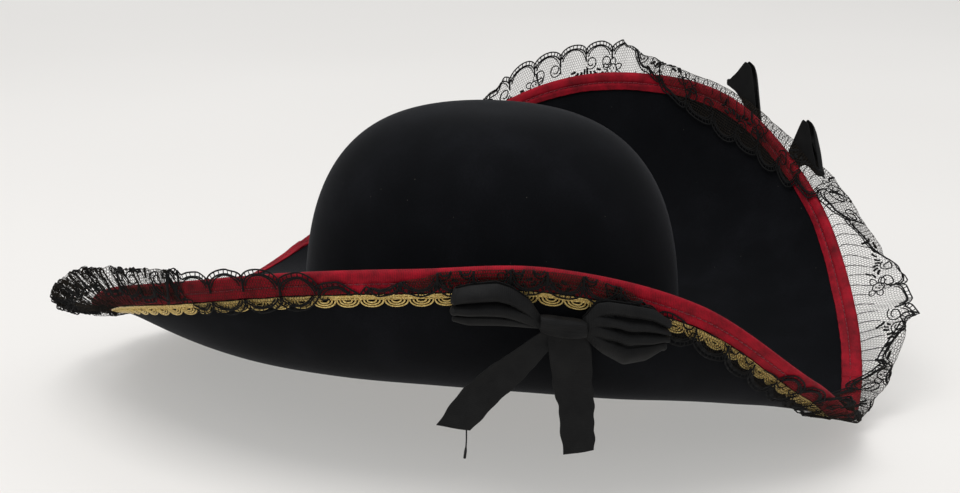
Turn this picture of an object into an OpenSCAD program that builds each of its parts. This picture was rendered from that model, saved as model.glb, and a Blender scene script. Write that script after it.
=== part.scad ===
// Pirate hat: a felt cocked hat with a domed crown and a wide brim turned up
// at both sides. The brim is wired, bound in crimson tape, trimmed with gold
// braid and lace, and carries a ribbon bow on each side.
// Millimetres. The origin is the centre of the head opening, where the crown
// meets the brim. +Z is up, -Y is the front point and +X the wearer's left.

/* [Felt] */
// Half the crown's length, front to back, outside the felt at the head line
crown_half_length = 101; // [97:1:105]
// Half the crown's width, outside the felt at the head line
crown_half_width = 84; // [80:1:88]
// Height of the crown above the brim
crown_height = 111; // [100:1:118]
// How square the crown's shoulder is, where 2 is an ellipse
crown_shoulder = 2.9; // [2.2:0.1:3.4]
// How much the crown narrows towards the top
crown_taper = 0.04; // [0:0.01:0.1]
// Thickness of the felt
felt = 2.4; // [1.8:0.1:3]
// How far the brim is turned up, as a share of the usual
flap_lift = 1; // [0.9:0.05:1.05]

/* [Trimmings] */
// Width of the crimson tape on each face of the brim
tape_width = 8; // [7:0.5:11]
// Thickness of the tape
tape = 0.7; // [0.5:0.1:0.9]
// Width of the gold braid
braid_width = 6; // [5:0.5:8]
// Thickness of the gold braid
braid = 1.1; // [0.8:0.1:1.3]
// Thickness of the gathered lace
lace = 1; // [0.6:0.1:1.2]
// Height of the sweatband above the head line
sweatband_height = 32; // [25:1:38]
// Thickness of the sweatband
sweatband_thickness = 0.8; // [0.6:0.1:1.2]

/* [Bows] */
// Width of the ribbon
ribbon_width = 18; // [15:1:20]
// Length of each loop of the right bow along the brim, beyond the knot
loop_length = 38; // [30:1:42]
// Length along the brim of each loop of the left bow, which stands up steeply
steep_loop_length = 24; // [18:1:30]
// Height of a loop at its full end
loop_height = 27; // [22:1:30]
// Length of the straight tail
tail_length = 55; // [45:1:60]
// Thickness of a tail
tail_thickness = 0.8; // [0.6:0.1:1]

/* [Hidden] */

// The blocked brim, as [azimuth from the front point, radius of the edge,
// height of the edge, height of the fold], with azimuth turning to the
// wearer's left. The left side is turned up higher than the right.
STATIONS = [
    [0, 194, -30, -26], [20, 192, 0, -22], [40, 189, 50, -14], [60, 180, 91, -10],
    [80, 169, 100, -8], [100, 169, 89, -8], [120, 181, 54, -8], [140, 195, 6, -6],
    [160, 200, -24, -8], [180, 206, -16, -6], [200, 208, 3, -2], [220, 198, 31, -5],
    [240, 186, 50, -6], [260, 175, 64, -5], [280, 171, 71, -4], [300, 176, 73, -9],
    [320, 189, 54, -18], [340, 199, 6, -27]
];
RADIUS = 1;
HEIGHT = 2;
FOLD = 3;

// Steps round the brim, and from the trimmings in to the head line
STEPS_ROUND = 96;
STEPS_IN = 6;
// Steps used to measure along the brim's section
STEPS_MEASURE = 24;
// Height of the edge at which a side counts as fully turned up
FULL_LIFT = 70;
// Where the fold lies between the head line and the edge, flat and turned up
FOLD_FLAT = 0.6;
FOLD_UP = 0.92;
// Room left between pieces that touch
gap = 0.15;

tape_inner = felt / 2 + gap;
tape_outer = tape_inner + tape;
// Depth of the row of stitches on the tape
stitch_depth = tape_width * 0.45;
wire_radius = 0.8;
// Middle of the wire, beyond the felt's edge
wire_out = 0.95;
thread_radius = 0.3;
braid_top = tape_width + 0.6;
lace_back = tape_outer + 2 * thread_radius + 2 * gap;
head_wall = crown_half_width - felt;

// Bows: azimuth and depth below the edge of each knot
RIGHT_KNOT = [301, 20];
LEFT_KNOT = [52, 18];
knot_half_width = 9.5;
knot_half_height = 5;
knot_back = 4.2;
knot_front = 12;
// How far under its knot the tails of each bow hang from
right_drop = 3;
left_drop = 9;

// ---- The brim's shape -------------------------------------------------

function wrap(t) = (t % 360 + 360) % 360;
function ease(x) = let (c = min(1, max(0, x))) c * c * (3 - 2 * c);
function mix(a, b, s) = a + (b - a) * s;

// Station i, counted on past a full turn
function station(i) =
    let (n = len(STATIONS), k = (i % n + n) % n, turns = floor(i / n))
    STATIONS[k] + [360 * turns, 0, 0, 0];

// Smooth closed curve through one column of the stations, at azimuth t
function through(t, c) =
    let (i = len([for (s = STATIONS) if (s[0] <= wrap(t)) 1]) - 1)
    let (a = station(i - 1), b = station(i), d = station(i + 1), e = station(i + 2))
    let (h = d[0] - b[0], s = (wrap(t) - b[0]) / h)
    let (m0 = (d[c] - a[c]) / (d[0] - a[0]) * h, m1 = (e[c] - b[c]) / (e[0] - b[0]) * h)
    let (s2 = s * s, s3 = s * s * s)
    (2 * s3 - 3 * s2 + 1) * b[c] + (s3 - 2 * s2 + s) * m0
        + (3 * s2 - 2 * s3) * d[c] + (s3 - s2) * m1;

// Radius of the head ellipse at azimuth t, outside the felt, less an inset
function head_radius(t, inset = 0) =
    1 / sqrt(pow(cos(t) / (crown_half_length - inset), 2)
        + pow(sin(t) / (crown_half_width - inset), 2));

// Section of the brim at azimuth t: head line, fold and edge, as [radius, height]
function section(t) =
    let (f = head_radius(t), r = through(t, RADIUS), z = through(t, HEIGHT) * flap_lift)
    let (share = mix(FOLD_FLAT, FOLD_UP, ease(z / FULL_LIFT)))
    [[f, 0], [mix(f, r, share), through(t, FOLD)], [r, z]];

// Point and unit direction on a section, from 0 at the head line to 1 at the edge
function along(q, u) = pow(1 - u, 2) * q[0] + 2 * u * (1 - u) * q[1] + u * u * q[2];
function heading(q, u) =
    let (v = (1 - u) * (q[1] - q[0]) + u * (q[2] - q[1])) v / norm(v);

// Table of [depth below the edge, place on the section], from the edge inwards
function depths(q) =
    let (n = STEPS_MEASURE)
    [for (k = n, d = 0; k >= 0;
        d = d + (k > 0 ? norm(along(q, k / n) - along(q, (k - 1) / n)) : 0), k = k - 1)
        [d, k / n]];

// A point in the section's plane at azimuth t, set in the hat
function place(t, p) = [p[0] * sin(t), -p[0] * cos(t), p[1]];

// The point a depth below the edge and a height off the brim's middle, where
// a positive height is on the outer face and a negative depth is past the edge
function skin(t, depth, off) =
    let (q = section(t), u = depth > 0 ? lookup(depth, depths(q)) : 1)
    let (g = heading(q, u), p = along(q, u) + g * max(0, -depth))
    place(t, p + off * [g[1], -g[0]]);

// Azimuth of a point a distance along the edge from azimuth t
function beside(t, distance) = t + distance / through(t, RADIUS) * 180 / PI;

// ---- Solids from rows of points ---------------------------------------

// Two triangles for each cell between rings of m points
function band(i, k, m) = [for (j = [0:m - 1]) let (n = (j + 1) % m)
    each [[i * m + j, k * m + n, i * m + n], [i * m + j, k * m + j, k * m + n]]];

// Solid through rings of points: a closed loop, or a length with flat ends.
// In a ring with ends, point j lies across from point m - 1 - j.
module loft(rings, closed = false) {
    n = len(rings);
    m = len(rings[0]);
    e = (n - 1) * m;
    sides = [for (i = [0:n - (closed ? 1 : 2)]) each band(i, (i + 1) % n, m)];
    ends = closed ? [] : [for (j = [0:m / 2 - 2]) each [
        [j, j + 1, m - 2 - j], [j, m - 2 - j, m - 1 - j],
        [e + j, e + m - 2 - j, e + j + 1], [e + j, e + m - 1 - j, e + m - 2 - j]
    ]];
    polyhedron([for (r = rings) each r], concat(sides, ends), convexity = 8);
}

// A strip all round the brim, from its outline as [depth, height off the felt]
module round_the_brim(outline) {
    loft([for (k = [0:STEPS_ROUND - 1]) let (t = k * 360 / STEPS_ROUND)
        [for (p = outline) skin(t, p[0], p[1])]], closed = true);
}

function ring_outline(depth, off, radius, sides) =
    [for (k = [0:sides - 1]) let (a = -k * 360 / sides)
        [depth + radius * cos(a), off + radius * sin(a)]];

// ---- Felt -------------------------------------------------------------

// Radius and height on the dome, from 0 at the head line to 1 at the top
function dome(t, v, inset) =
    let (rise = pow(sin(90 * v), 2 / crown_shoulder))
    let (narrow = pow(cos(90 * v), 2 / crown_shoulder) * (1 - crown_taper * rise))
    [head_radius(t, inset) * narrow, mix(felt / 2, crown_height - inset, rise)];

module crown() {
    turns = 64;
    rows = 12;
    skins = [for (inset = [0, felt]) for (v = [0:rows - 1]) for (k = [0:turns - 1])
        let (t = k * 360 / turns) place(t, dome(t, v / rows, inset))];
    top = [[0, 0, crown_height], [0, 0, crown_height - felt]];
    outer_top = len(skins);
    inner = rows * turns;
    outside = [for (v = [0:rows - 2]) each band(v, v + 1, turns)];
    inside = [for (f = outside) [f[0] + inner, f[2] + inner, f[1] + inner]];
    rim = [for (f = band(0, rows, turns)) [f[0], f[2], f[1]]];
    last = (rows - 1) * turns;
    caps = [for (j = [0:turns - 1]) let (n = (j + 1) % turns) each [
        [last + j, outer_top, last + n],
        [inner + last + j, inner + last + n, outer_top + 1]
    ]];
    color("#1b1b1d")
        polyhedron(concat(skins, top), concat(outside, inside, rim, caps), convexity = 6);
}

// Places on a section for the felt's rows, from the head line out. The outer
// rows lie under the rows of the tape and braid.
function felt_rows(q) =
    let (table = depths(q), whole = table[STEPS_MEASURE][0], under = braid_top + braid_width)
    [
        for (k = [STEPS_IN:-1:1]) lookup(mix(under, whole, k / STEPS_IN), table),
        for (d = [under, braid_top, tape_width, stitch_depth, 0]) lookup(d, table)
    ];

// One quarter of the brim, from step k0 to k1 round it
module brim_quarter(k0, k1) {
    color("#161619") loft([for (k = [k0:k1])
        let (t = k * 360 / STEPS_ROUND, q = section(t), f = head_radius(t, felt))
        let (rows = felt_rows(q), last = len(rows) - 1)
        concat(
            [place(t, [f, felt / 2])],
            [for (u = rows) let (g = heading(q, u))
                place(t, along(q, u) + felt / 2 * [-g[1], g[0]])],
            [for (i = [last:-1:0]) let (u = rows[i], g = heading(q, u))
                place(t, along(q, u) - felt / 2 * [-g[1], g[0]])],
            [place(t, [f, -felt / 2])]
        )]);
}

module brim_front() { brim_quarter(STEPS_ROUND * 7 / 8, STEPS_ROUND * 9 / 8); }
module brim_left() { brim_quarter(STEPS_ROUND / 8, STEPS_ROUND * 3 / 8); }
module brim_rear() { brim_quarter(STEPS_ROUND * 3 / 8, STEPS_ROUND * 5 / 8); }
module brim_right() { brim_quarter(STEPS_ROUND * 5 / 8, STEPS_ROUND * 7 / 8); }

module sweatband() {
    rows = [-felt / 2, felt / 2, sweatband_height];
    // Outer face of the band at height z, which follows the crown's inner wall
    function face(t, z, inset) =
        let (rise = max(0, z) / (crown_height - felt))
        let (v = pow(rise, crown_shoulder))
        let (narrow = pow(1 - v, 1 / crown_shoulder) * (1 - crown_taper * rise))
        place(t, [head_radius(t, felt + 2 * gap + inset) * narrow, z]);
    color("#a98a63") loft([for (k = [0:STEPS_ROUND - 1]) let (t = k * 360 / STEPS_ROUND)
        concat(
            [for (z = rows) face(t, z, sweatband_thickness)],
            [for (i = [2:-1:0]) face(t, rows[i], 0)]
        )], closed = true);
}

// Thread that holds the sweatband to the head line
module head_stitching() {
    inset = felt + 2 * gap + sweatband_thickness + gap + thread_radius;
    color("#8a7048") loft([for (k = [0:STEPS_ROUND - 1]) let (t = k * 360 / STEPS_ROUND)
        [for (j = [0:3]) let (a = j * 90)
            place(t, [head_radius(t, inset) + thread_radius * cos(a),
                felt + thread_radius * sin(a)])]], closed = true);
}

// ---- Edge -------------------------------------------------------------

// Wire that holds the brim's edge in shape, inside the tape's fold
module brim_wire() {
    color("#8f9296") round_the_brim(ring_outline(-wire_out, 0, wire_radius, 6));
}

// Tape folded over the edge and down both faces
module edge_binding() {
    cap = wire_out + wire_radius + gap;
    tip = 0.75 * wire_radius;
    color("#a8132b") round_the_brim([
        [tape_width, tape_outer], [stitch_depth, tape_outer], [0, tape_outer],
        [-cap - 0.8 * tape, tape_outer / 2], [-cap - 0.8 * tape, -tape_outer / 2],
        [0, -tape_outer], [stitch_depth, -tape_outer], [tape_width, -tape_outer],
        [tape_width, -tape_inner], [stitch_depth, -tape_inner], [0, -tape_inner],
        [-cap, -tip], [-cap, tip],
        [0, tape_inner], [stitch_depth, tape_inner], [tape_width, tape_inner]
    ]);
}

// One row of thread on each face, along the middle of the tape
module binding_stitching() {
    for (side = [-1, 1])
        color("#7c0d20") round_the_brim(ring_outline(stitch_depth,
            side * (tape_outer + gap + thread_radius), thread_radius, 4));
}

module gold_braid() {
    back = felt / 2 + gap;
    color("#c9a54c") round_the_brim([
        [braid_top, back], [braid_top + braid_width, back],
        [braid_top + braid_width, back + braid], [braid_top, back + braid]
    ]);
}

// How far the lace stands past the edge, and how far it leans outwards
function lace_stand(t) = 15 + 8 * cos(t - 55);
function lace_lean(t) = 0.3 - 0.75 * ease(1 - abs(wrap(t) - 55) / 40);

// A length of gathered lace from step k0 to k1 round the brim, sewn on above
// the braid
module lace_length(k0, k1) {
    color("#17171a") loft([for (k = [k0:k1])
        let (t = k * 360 / STEPS_ROUND, h = lace_stand(t), m = lace_lean(t))
        let (path = [[braid_top - 1, lace_back], [stitch_depth, lace_back], [-3, lace_back],
            [-3 - h / 2, lace_back + m * h / 2], [-3 - h, lace_back + m * h]])
        concat(
            [for (p = path) skin(t, p[0], p[1] + lace)],
            [for (i = [len(path) - 1:-1:0]) skin(t, path[i][0], path[i][1])]
        )]);
}

module lace_front_left() { lace_length(1, STEPS_ROUND / 4 - 1); }
module lace_rear_left() { lace_length(STEPS_ROUND / 4 + 1, STEPS_ROUND / 2 - 1); }
module lace_rear_right() { lace_length(STEPS_ROUND / 2 + 1, STEPS_ROUND * 3 / 4 - 1); }
module lace_front_right() { lace_length(STEPS_ROUND * 3 / 4 + 1, STEPS_ROUND - 1); }

// ---- Bows -------------------------------------------------------------

// A ribbon loop on the brim beside a knot; side is 1 or -1 along the edge,
// length is along the edge, and lift is how far its full end rises
module bow_loop(knot, side, length, lift) {
    steps = 6;
    waist = 4.5;
    color("#1a1a1d") loft([for (k = [0:steps])
        let (s = side > 0 ? k / steps : 1 - k / steps)
        let (t = beside(knot[0], side * (knot_half_width + 0.8 + length * s)))
        let (half = mix(waist, loop_height / 2, pow(s, 0.7)), depth = knot[1] - lift * s)
        let (back = knot_back + 0.4, front = back + 6 + 6 * sin(150 * s))
        [for (p = [[-1, 0.25], [-0.7, 0], [0.7, 0], [1, 0.25],
            [1, 0.75], [0.7, 1], [-0.7, 1], [-1, 0.75]])
            skin(t, depth + half * p[0], mix(back, front, p[1]))]]);
}

module bow_knot(knot) {
    color("#1d1d20") loft([for (a = [-1, -0.6, 0, 0.6, 1])
        let (t = beside(knot[0], a * knot_half_width), full = 1 - 0.25 * a * a)
        [for (p = [[-1, 0.3], [-0.6, 0], [0.6, 0], [1, 0.3],
            [1, 0.7], [0.6, 1], [-0.6, 1], [-1, 0.7]])
            skin(t, knot[1] + full * knot_half_height * p[0],
                mix(knot_back, knot_back + (knot_front - knot_back) * full, p[1]))]]);
}

// Two thread tacks between the felt and the back of a knot
module bow_tack(knot, depth) {
    reach = knot_back - felt / 2 - 2 * gap;
    for (a = [-3, 3]) {
        t = beside(knot[0], a);
        start = skin(t, depth, felt / 2 + gap);
        v = skin(t, depth, felt / 2 + gap + 1) - start;
        color("#111113") translate(start)
            rotate([0, acos(v[2]), atan2(v[1], v[0])])
                cylinder(h = reach, r = 0.5, $fn = 24);
    }
}

// Where the tails hang from, at a drop under the knot
function tail_pin(knot, drop) = skin(knot[0], knot[1] + knot_half_height + drop, 6.5);

// A tail hanging below a knot, from its outline as [distance towards the front,
// height]; front is 1 where azimuth grows towards the front, else -1
module ribbon_tail(knot, drop, front, outline) {
    color("#1c1c1f") translate(tail_pin(knot, drop)) rotate([90, 0, knot[0]])
        linear_extrude(height = tail_thickness, center = true)
            polygon([for (p = outline) [front * p[0], p[1]]]);
}

// The straight tail, a little narrower where its end curls
front_outline = [
    [-7, 0], [ribbon_width - 6, 0], [ribbon_width - 3, -24],
    [ribbon_width - 2.5, -tail_length + 2.5], [1.5, -tail_length + 1.5], [-3, -22]
];
// The slanting tail, with its end cut across
rear_outline = [
    [-8.4, -0.4], [-8.4, -6], [-14.5, -15], [-40, -39], [-55, -36],
    [-42, -18.5], [-16.5, -0.6]
];

module right_bow_front_loop() { bow_loop(RIGHT_KNOT, 1, loop_length, 0); }
module right_bow_rear_loop() { bow_loop(RIGHT_KNOT, -1, loop_length, 8); }
module right_bow_knot() { bow_knot(RIGHT_KNOT); }
module right_bow_tack() { bow_tack(RIGHT_KNOT, RIGHT_KNOT[1] + 3); }
module right_bow_front_tail() { ribbon_tail(RIGHT_KNOT, right_drop, 1, front_outline); }
module right_bow_rear_tail() { ribbon_tail(RIGHT_KNOT, right_drop, 1, rear_outline); }
module left_bow_front_loop() { bow_loop(LEFT_KNOT, -1, steep_loop_length, 26); }
module left_bow_rear_loop() { bow_loop(LEFT_KNOT, 1, steep_loop_length, 26); }
module left_bow_knot() { bow_knot(LEFT_KNOT); }
module left_bow_tack() { bow_tack(LEFT_KNOT, LEFT_KNOT[1] + 3); }
module left_bow_front_tail() { ribbon_tail(LEFT_KNOT, left_drop, -1, front_outline); }
module left_bow_rear_tail() { ribbon_tail(LEFT_KNOT, left_drop, -1, rear_outline); }

crown();
brim_front();
brim_left();
brim_rear();
brim_right();
brim_wire();
edge_binding();
binding_stitching();
gold_braid();
lace_front_left();
lace_rear_left();
lace_rear_right();
lace_front_right();
sweatband();
head_stitching();
right_bow_front_loop();
right_bow_rear_loop();
right_bow_knot();
right_bow_tack();
right_bow_front_tail();
right_bow_rear_tail();
left_bow_front_loop();
left_bow_rear_loop();
left_bow_knot();
left_bow_tack();
left_bow_front_tail();
left_bow_rear_tail();
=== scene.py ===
"""Pirate hat of black wool felt: its looks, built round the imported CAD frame.

Every surface is worked out in millimetres in the hat's own frame (origin at the
head line, +Z up, -Y towards the front point, +X the wearer's left) and is put
into its mesh in metres. Azimuth is in degrees from the front point, turning to
the wearer's left.
"""
import logging
import math
from dataclasses import dataclass, field
from enum import Enum

import bpy
import numpy as np
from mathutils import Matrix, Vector


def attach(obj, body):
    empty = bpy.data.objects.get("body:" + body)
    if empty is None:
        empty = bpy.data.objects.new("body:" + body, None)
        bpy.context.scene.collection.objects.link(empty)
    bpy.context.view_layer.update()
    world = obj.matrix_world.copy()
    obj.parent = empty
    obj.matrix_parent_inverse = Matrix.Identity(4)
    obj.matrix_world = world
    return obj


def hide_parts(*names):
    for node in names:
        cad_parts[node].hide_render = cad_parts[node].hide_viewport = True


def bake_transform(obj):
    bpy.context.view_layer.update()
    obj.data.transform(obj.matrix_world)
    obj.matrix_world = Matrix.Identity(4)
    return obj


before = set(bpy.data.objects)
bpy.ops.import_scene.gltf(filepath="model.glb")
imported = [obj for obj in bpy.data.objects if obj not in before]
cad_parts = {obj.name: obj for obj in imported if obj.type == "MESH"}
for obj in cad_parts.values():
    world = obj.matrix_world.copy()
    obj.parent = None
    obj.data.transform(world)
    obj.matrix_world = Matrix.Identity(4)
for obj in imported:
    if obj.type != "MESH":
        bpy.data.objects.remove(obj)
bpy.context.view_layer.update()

Array = np.ndarray
log = logging.getLogger("pirate_hat")

MM = 0.001
FELT = 2.4
TAPE_WIDTH = 8.0
TAPE_INNER = FELT / 2 + 0.15
TAPE_OUTER = TAPE_INNER + 0.7
STITCH_DEPTH = TAPE_WIDTH * 0.45
BRAID_TOP = TAPE_WIDTH + 0.6
CROWN_HEIGHT = 111.0
CROWN_SHOULDER = 2.9
CROWN_TAPER = 0.04
HAT_BODY = "hat"


# ---- Colours, nodes and meshes ------------------------------------------


def linear(hex_colour: str, alpha: float = 1.0) -> tuple[float, float, float, float]:
    """Turn an sRGB hex colour into the linear one that a shader takes.

    Args:
        hex_colour: six hex digits after a hash.
        alpha: the fourth value.

    Returns:
        Linear red, green, blue and alpha.
    """
    parts = [int(hex_colour[i:i + 2], 16) / 255 for i in (1, 3, 5)]
    rgb = [c / 12.92 if c <= 0.04045 else ((c + 0.055) / 1.055) ** 2.4 for c in parts]
    return rgb[0], rgb[1], rgb[2], alpha


def put(tree: bpy.types.NodeTree, kind: str, inputs: dict | None = None,
        **settings: object) -> bpy.types.Node:
    """Add a node with its settings and links.

    Args:
        tree: the node tree.
        kind: the node's type, without the ShaderNode prefix.
        inputs: each input by name or number, as a value or as a socket to link.
        settings: properties of the node.

    Returns:
        The new node.
    """
    node = tree.nodes.new("ShaderNode" + kind)
    for name, value in settings.items():
        setattr(node, name, value)
    for name, value in (inputs or {}).items():
        if isinstance(value, bpy.types.NodeSocket):
            tree.links.new(value, node.inputs[name])
        else:
            node.inputs[name].default_value = value
    return node


def ramp(tree: bpy.types.NodeTree, factor: bpy.types.NodeSocket,
         stops: list[tuple[float, str]]) -> bpy.types.NodeSocket:
    """Add a colour ramp.

    Args:
        tree: the node tree.
        factor: what drives it.
        stops: place and sRGB hex colour of each stop.

    Returns:
        The ramp's colour.
    """
    node = put(tree, "ValToRGB", {"Fac": factor})
    elements = node.color_ramp.elements
    for k, (place, colour) in enumerate(stops):
        element = elements[k] if k < 2 else elements.new(place)
        element.position = place
        element.color = linear(colour)
    return node.outputs["Color"]


def new_material(name: str) -> tuple[bpy.types.Material, bpy.types.NodeTree, bpy.types.Node]:
    """Make a material with a Principled shader on its output.

    Args:
        name: the material's name.

    Returns:
        The material, its node tree and the shader.
    """
    material = bpy.data.materials.new(name)
    material.use_nodes = True
    tree = material.node_tree
    tree.nodes.clear()
    shader = put(tree, "BsdfPrincipled")
    put(tree, "OutputMaterial", {"Surface": shader.outputs["BSDF"]})
    return material, tree, shader


@dataclass
class Sheet:
    """Vertices, faces and flat coordinates of a mesh in the making, in mm."""

    points: list[Array] = field(default_factory=list)
    faces: list[Array] = field(default_factory=list)
    flats: list[Array] = field(default_factory=list)
    count: int = 0

    def add(self, points: Array, faces: Array, flat: Array) -> None:
        """Add points and faces.

        Args:
            points: (n, 3) places in mm.
            faces: (f, k) corners, counted from these points.
            flat: (f, k, 2) flat coordinates of each corner, in mm.
        """
        self.points.append(points.reshape(-1, 3))
        self.faces.append(faces + self.count)
        self.flats.append(flat)
        self.count += len(self.points[-1])

    def add_grid(self, grid: Array, flat: Array, close_u: bool = False, close_v: bool = False,
                 flip: bool = False, cap: bool = False) -> None:
        """Add a surface from a grid of points.

        Args:
            grid: (n, m, 3) places in mm.
            flat: flat coordinates, one row or column longer where it closes.
            close_u: joins the last row to the first.
            close_v: joins the last column to the first.
            flip: turns the faces round.
            cap: closes both end rings, where point j lies across from m - 1 - j.
        """
        n, m = grid.shape[:2]
        i, j = np.meshgrid(np.arange(n - 1 + close_u), np.arange(m - 1 + close_v), indexing="ij")
        i, j = i.ravel(), j.ravel()
        i2, j2 = i + 1, j + 1
        faces = np.stack([i * m + j, i * m + j2 % m, i2 % n * m + j2 % m, i2 % n * m + j], 1)
        uv = np.stack([flat[i, j], flat[i, j2], flat[i2, j2], flat[i2, j]], 1)
        if cap:
            a = np.arange(m // 2 - 1)
            start = np.stack([a, m - 1 - a, m - 2 - a, a + 1], 1)
            end = (n - 1) * m + start[:, ::-1]
            faces = np.concatenate([faces, start, end])
            rim = np.stack([flat[0, a], flat[0, m - 1 - a], flat[0, m - 2 - a], flat[0, a + 1]], 1)
            uv = np.concatenate([uv, rim, rim[:, ::-1]])
        if flip:
            faces, uv = faces[:, ::-1], uv[:, ::-1]
        self.add(grid.reshape(-1, 3), faces, uv)

    def add_fan(self, ring: Array, point: Array, flip: bool = False) -> None:
        """Close a ring of points already added with one point in its middle.

        Args:
            ring: numbers of the ring's points, in order.
            point: the middle, in mm.
            flip: turns the faces round.
        """
        after = np.roll(ring, -1)
        faces = np.stack([ring, after, np.full(len(ring), self.count)], 1)
        faces = faces[:, ::-1] if flip else faces
        self.points.append(point.reshape(1, 3))
        self.faces.append(faces)
        self.flats.append(np.zeros((*faces.shape, 2)))
        self.count += 1

    def add_tubes(self, path: Array, normal: Array, radius: Array | float, sides: int,
                  keep: Array | None = None, closed: bool = False, squeeze: float = 1.0) -> None:
        """Add threads or cords: a regular polygon carried along each path.

        Args:
            path: (k, n, 3) middle of each cord.
            normal: (k, n, 3) direction that one side faces.
            radius: half the thickness, one number or (k, n).
            sides: corners of the polygon.
            keep: (k, n - 1) segments to keep, or None for all.
            closed: joins each path's end to its start.
            squeeze: thickness along the normal, as a share of that across it.
        """
        k, n = path.shape[:2]
        if closed:
            along = np.roll(path, -1, 1) - np.roll(path, 1, 1)
        else:
            along = np.gradient(path, axis=1)
        along /= np.maximum(np.linalg.norm(along, axis=2, keepdims=True), 1e-9)
        across = np.cross(along, normal)
        across /= np.maximum(np.linalg.norm(across, axis=2, keepdims=True), 1e-9)
        up = np.cross(across, along)
        turn = np.arange(sides) * 2 * np.pi / sides
        r = np.broadcast_to(radius, (k, n))[:, :, None, None]
        ring = (path[:, :, None] + r * (np.cos(turn)[:, None] * across[:, :, None]
                + squeeze * np.sin(turn)[:, None] * up[:, :, None]))
        step = np.linalg.norm(np.diff(path, axis=1), axis=2)
        length = np.concatenate([np.zeros((k, 1)), np.cumsum(step, 1)], 1)
        last = n if closed else n - 1
        p, i, j = np.meshgrid(np.arange(k), np.arange(last), np.arange(sides), indexing="ij")
        if keep is not None:
            chosen = np.broadcast_to(keep[:, :, None], p.shape)
            p, i, j = p[chosen], i[chosen], j[chosen]
        p, i, j = p.ravel(), i.ravel(), j.ravel()
        i2, j2 = (i + 1) % n, (j + 1) % sides
        corner = (p * n + i) * sides
        corner2 = (p * n + i2) * sides
        faces = np.stack([corner + j, corner2 + j, corner2 + j2, corner + j2], 1)
        girth = 2 * np.pi * np.broadcast_to(radius, (k, n))[p, i] / sides
        u, u2 = length[p, i], np.where(i2 > 0, length[p, i2], length[p, i] + 1)
        uv = np.stack([np.stack([u, girth * j], 1), np.stack([u2, girth * j], 1),
                       np.stack([u2, girth * (j + 1)], 1), np.stack([u, girth * (j + 1)], 1)], 1)
        self.add(ring.reshape(-1, 3), faces, uv)
        if not closed and keep is None:
            start = np.arange(k)[:, None] * n * sides + np.arange(sides)[None]
            end = start + (n - 1) * sides
            for caps in (start, end[:, ::-1]):
                self.faces.append(caps + self.count - k * n * sides)
                self.flats.append(np.zeros((k, sides, 2)))

    def build(self, name: str, material: bpy.types.Material,
              smooth: bool = True) -> bpy.types.Object:
        """Make the mesh object, at the origin and in metres.

        Args:
            name: the piece's name.
            material: its finish.
            smooth: shades the faces smoothly.

        Returns:
            The new object.
        """
        points = np.concatenate(self.points)
        corners = np.concatenate([f.ravel() for f in self.faces])
        sizes = np.concatenate([np.full(len(f), f.shape[1]) for f in self.faces])
        used, corners = np.unique(corners, return_inverse=True)
        points = points[used] * MM
        starts = np.concatenate([[0], np.cumsum(sizes)[:-1]])
        mesh = bpy.data.meshes.new(name)
        mesh.vertices.add(len(points))
        mesh.vertices.foreach_set("co", points.astype(np.float32).ravel())
        mesh.loops.add(len(corners))
        mesh.loops.foreach_set("vertex_index", corners.astype(np.int32).ravel())
        mesh.polygons.add(len(sizes))
        mesh.polygons.foreach_set("loop_start", starts.astype(np.int32))
        mesh.update(calc_edges=True)
        uv = mesh.uv_layers.new(name="Flat")
        flat = np.concatenate([f.reshape(-1, 2) for f in self.flats])
        uv.data.foreach_set("uv", flat.astype(np.float32).ravel())
        mesh.polygons.foreach_set("use_smooth", np.full(len(sizes), smooth))
        mesh.update()
        obj = bpy.data.objects.new(name, mesh)
        bpy.context.scene.collection.objects.link(obj)
        mesh.materials.append(material)
        return obj


def settle(piece: bpy.types.Object, slot: str, *nodes: str,
           body: str = HAT_BODY) -> bpy.types.Object:
    """Make a piece ride and stand for its CAD nodes.

    Args:
        piece: the finished piece.
        slot: the record's material slot; not used.
        nodes: the CAD nodes it stands for, if any.
        body: the body it moves with.

    Returns:
        The same piece.
    """
    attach(piece, body)
    if nodes:
        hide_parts(*nodes)
    return piece


def report(obj: bpy.types.Object) -> None:
    """Log a finished piece with its number of faces."""
    log.info("%-26s %7d faces", obj.name, len(obj.data.polygons))


def ease(x: Array | float) -> Array:
    """Smooth step from 0 to 1: 3x^2 - 2x^3 on x held between 0 and 1."""
    c = np.clip(x, 0, 1)
    return c * c * (3 - 2 * c)


def closed_curve(stations: Array, azimuth: Array, column: int) -> Array:
    """Smooth closed curve through one column of a table of stations.

    Between two stations it is the cubic with their values and with slopes taken
    across each station's neighbours (Catmull-Rom on uneven spacing).

    Args:
        stations: rows that start with an azimuth in degrees, in order.
        azimuth: where to read the curve, in degrees.
        column: which column to read.

    Returns:
        The curve's value at each azimuth.
    """
    t = np.asarray(azimuth, float) % 360
    place = np.concatenate([stations[-2:, 0] - 360, stations[:, 0], stations[:3, 0] + 360])
    value = np.concatenate([stations[-2:, column], stations[:, column], stations[:3, column]])
    i = np.searchsorted(place, t, side="right") - 1
    gap = place[i + 1] - place[i]
    s = (t - place[i]) / gap
    m0 = (value[i + 1] - value[i - 1]) / (place[i + 1] - place[i - 1]) * gap
    m1 = (value[i + 2] - value[i]) / (place[i + 2] - place[i]) * gap
    return ((2 * s**3 - 3 * s**2 + 1) * value[i] + (s**3 - 2 * s**2 + s) * m0
            + (3 * s**2 - 2 * s**3) * value[i + 1] + (s**3 - s**2) * m1)


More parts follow.
